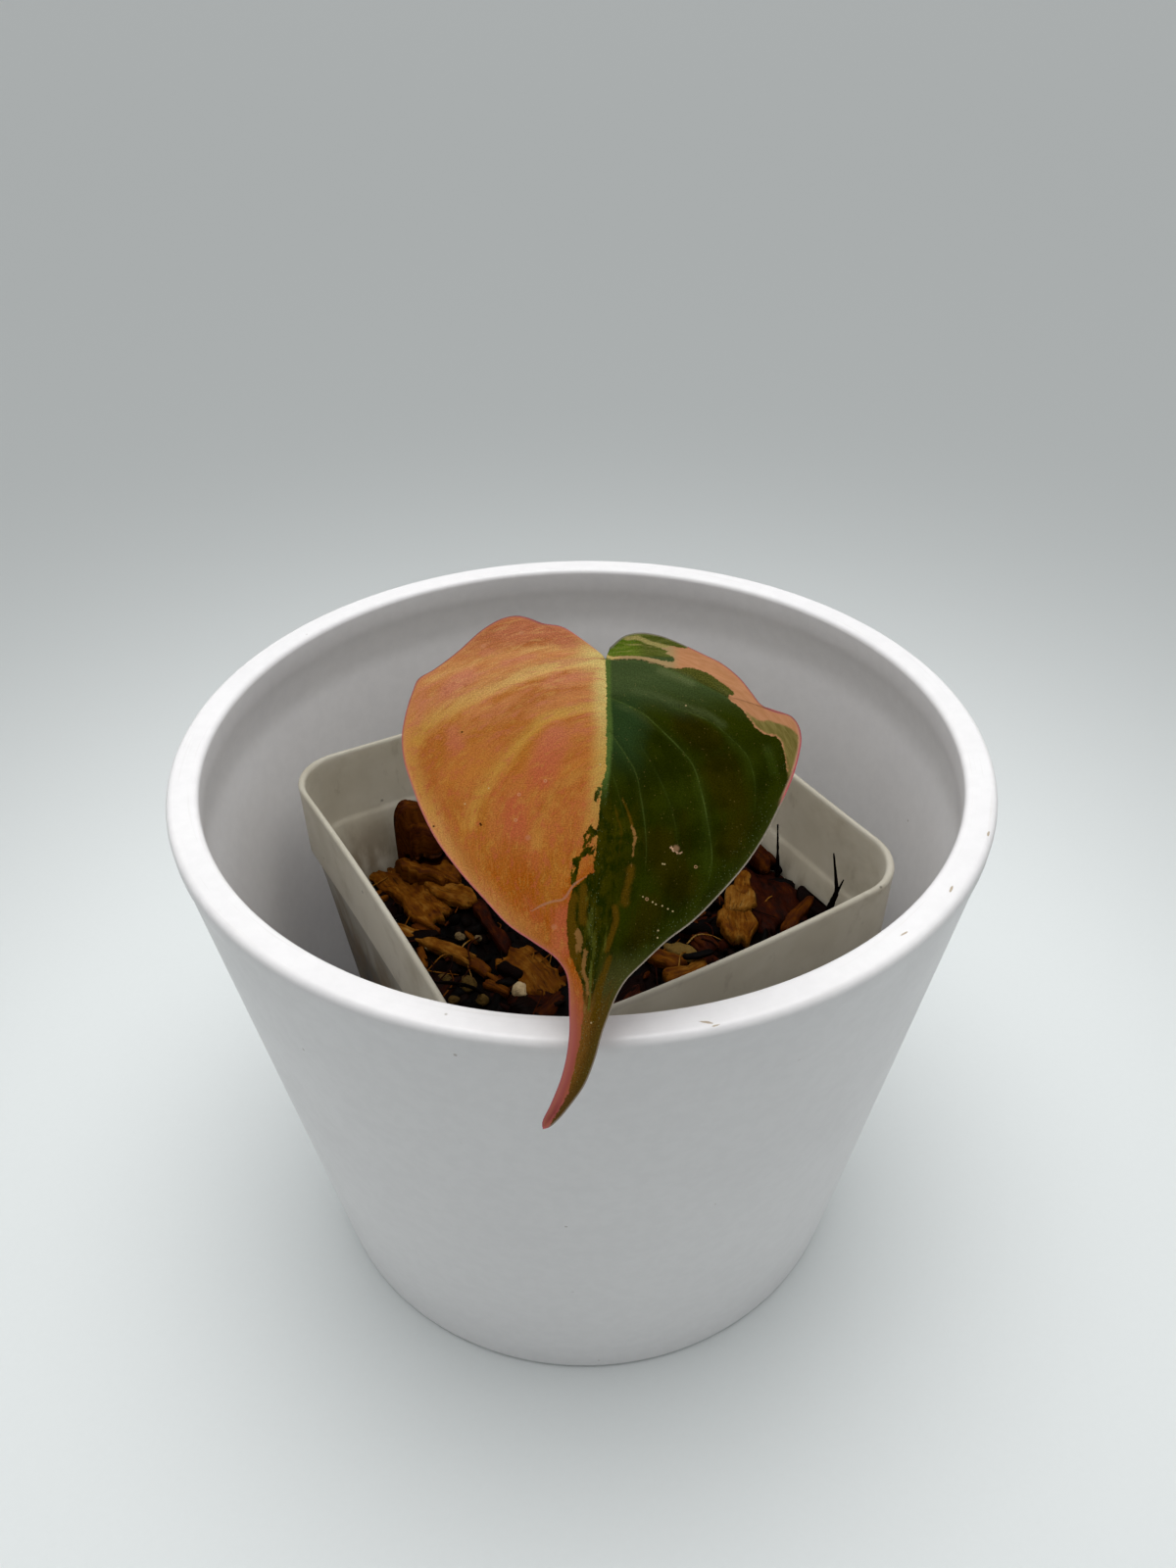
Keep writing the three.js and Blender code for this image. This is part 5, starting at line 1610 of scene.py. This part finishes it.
def green_half(leaf):
    """Deep velvet green with painted sheen, bluish by the stalk, painted glints and a pale painted
    highlight at the margin, with pale veins, brown mottling and a streaked tail.
    """
    x, y, rim, silk, cloud = leaf.x, leaf.y, leaf.rim, leaf.silk, leaf.cloud
    leafy = leaf.mix((0.0095, 0.0132, 0.0003), (0.0165, 0.0222, 0.0006), cloud, 0.36, 0.62)
    umber = leaf.mix((0.0108, 0.0100, 0.0001), (0.0195, 0.0168, 0.0004), cloud, 0.36, 0.62)
    olive = leaf.mix((0.040, 0.044, 0.007), (0.065, 0.064, 0.011), leaf.fleck, 0.38, 0.62)
    pale = leaf.mix((0.072, 0.090, 0.033), (0.028, 0.044, 0.004), y, 7, 16)
    # painted sheen: a bluish reflection beside the midrib
    teal_sheen = leaf.uneven(x, 0, 5).ramp(2.5, 6, 0.9, 0) * y.ramp(5, 8) * y.ramp(12, 20, 1, 0)
    strip = leaf.uneven(leaf.midrib, 0.3).ramp(0.40, 0.95, 0.9, 0) * y.ramp(16, 24, 1, 0)
    base = leaf.coats(leafy, [
        (umber, leaf.uneven(leaf.field("umber"), 0.8), 0.10, 0.90),
        # painted sheen: lighter bluish green by the stalk
        ((0.0390, 0.0580, 0.0185), leaf.uneven(y, 0, 7), 3.5, 11, 0.92, 0),
        ((0.0165, 0.0350, 0.0095), teal_sheen),
        (olive, leaf.uneven(leaf.field("outer_olive"), 0.6), -0.1, 0.35),
        (pale, leaf.uneven(leaf.field("veil"), 0.7, 0.5), 0.15, 1.15, 0, 0.85),
        (lobe_colours(leaf), y, -0.3, 0.35, 1, 0),
        ((0.062, 0.102, 0.020), strip),
        *tail_coats(leaf)])
    for number, (_, strength) in enumerate(GREEN_VEINS):
        reach = abs(leaf.field(f"vein_{number}"))
        core = reach.ramp(0.03, 0.16, 0.40 * strength, 0) * silk.ramp(0.34, 0.60, 0.25, 1)
        base = leaf.coats(base, [
            ((0.070, 0.100, 0.022), core),
            ((0.040, 0.062, 0.010), reach, 0.10, 0.80, 0.09 * strength, 0)])
    glints = leaf.cells(leaf.flat, 2.7).ramp(0.10, 0.24, 0.6, 0)
    by_midrib = leaf.midrib.ramp(0.2, 1.2, 1, 0) * y.ramp(16, 20)
    shown = leaf.math("MAXIMUM", rim.ramp(1, 3.6, 0.75, 0), by_midrib)
    base = leaf.mix(base, (0.120, 0.150, 0.080), glints * shown)
    base = leaf.brighten(base, leaf.fleck.ramp(0.35, 0.65, 0.78, 1.24))
    return leaf.coats(base, [
        # painted sheen: a grey-green glow inside the margin, and a whitish painted highlight along it
        ((0.048, 0.058, 0.012), rim.ramp(0.1, 1.5, 0.25, 0) * y.ramp(16, 24)),
        ((0.280, 0.240, 0.200), rim, 0.04, 0.26, 0.8, 0)])


def lobe_colours(leaf):
    """The bright lobe over the stalk, with yellow-green and tan streaks."""
    streaks = leaf.noise(leaf.stretch(leaf.flat, (0.22, 1.6, 1)), 1.5, 4, 0.6)
    near = leaf.mix((0.058, 0.095, 0.007), (0.090, 0.118, 0.014), streaks, 0.38, 0.62)
    far = leaf.mix((0.046, 0.056, 0.007), (0.078, 0.088, 0.018), streaks, 0.38, 0.62)
    tan = leaf.field("tan") + (streaks - 0.5) * 1.1
    return leaf.coats(near, [(far, leaf.x, 3.2, 6), ((0.235, 0.195, 0.066), tan, 0.25, 0.95)])


def tail_coats(leaf):
    """Brown, lime and dark streaks that run down the drip tip."""
    y, fibre = leaf.y, leaf.fibre
    lane = leaf.axes(leaf.lane)[0]
    fibrous = fibre - 0.5
    woven = leaf.mix((0.0085, 0.0130, 0.0002), (0.0340, 0.0290, 0.0004), fibre, 0.38, 0.62)
    low = y.ramp(18, 26) * (lane + fibrous * 0.6).ramp(0.10, 0.45, 0.85, 0)
    across = lane + fibrous * 0.7
    tip = leaf.mix((0.145, 0.064, 0.011), (0.072, 0.036, 0.005), across, -0.15, 0.60)
    return [
        (woven, low),
        ((0.043, 0.042, 0.010), y.ramp(40, 45) * lane.ramp(0.05, 0.5)),
        (tip, y + fibrous * 9, 44, 49),
        ((0.0700, 0.0370, 0.0022), leaf.field("brown") + fibrous * 1.3, 0.25, 0.85, 0, 0.9),
        ((0.072, 0.080, 0.012), leaf.field("lime") + fibrous * 1.9, 0.25, 0.95, 0, 0.80),
        ((0.080, 0.032, 0.008), y, 56, 60.5)]


def leaf_marks(leaf):
    """Coats for small blemishes: a scratch, soft spots and rings at their places, and a scar."""
    coats = [((0.300, 0.165, 0.105), abs(leaf.field("scratch")), 0.05, 0.24, 0.50, 0)]
    for half, strength, tint, places in SPOTS:
        for x, y in places:
            reach = leaf.measure("DISTANCE", leaf.flat, (x, y, 0))
            coats.append((tint, reach, half * 0.5, half * 1.4, strength, 0))
    for x, y in PALE_RINGS:
        off_ring = abs(leaf.measure("DISTANCE", leaf.flat, (x, y, 0)) - RING_RADIUS)
        coats.append(((0.460, 0.260, 0.140), off_ring, 0.02, 0.09, 0.55, 0))
    scar = leaf.field("scar") + (leaf.noise(leaf.flat, 3.5, 3) - 0.5) * 0.5
    return coats + [((0.520, 0.320, 0.200), scar, 0.05, 0.22, 0.9, 0)]


def leaf_underside():
    """Salmon under the orange half and maroon under the green one, with raised pale veins."""
    paint = Paint("leaf_under_side")
    flow = paint.vector_field("flow")
    silk = paint.noise(paint.stretch(flow, (1, 0.12, 1)), 2.2, 4)
    ragged = paint.noise(paint.stretch(flow, (1, 0.22, 1)), 1.7, 5, 0.6)
    salmon = paint.mix((0.420, 0.170, 0.100), (0.560, 0.270, 0.150), silk)
    maroon = paint.mix((0.110, 0.040, 0.040), (0.200, 0.085, 0.060), silk)
    colour = paint.coats(salmon, [
        (maroon, paint.field("green") + (ragged - 0.5) * 0.9, -0.15, 0.15),
        ((0.330, 0.200, 0.110), paint.field("fine_vein"), 0.1, 0.6, 0.5, 0),
        ((0.400, 0.230, 0.120), paint.field("midrib"), 0.5, 1.3, 0.85, 0)])
    height = silk + paint.noise(paint.vector_field("flat"), 4, 4)
    return paint.finish(
        Base_Color=colour, Roughness=0.6, Normal=paint.normal(height, 0.08, 0.6),
        Sheen_Weight=0.1)


make_camera()
make_lights()
make_floor()
make_cover_pot()
make_nursery_pot()
make_mix()
make_stem()
make_stalk()
make_leaf()
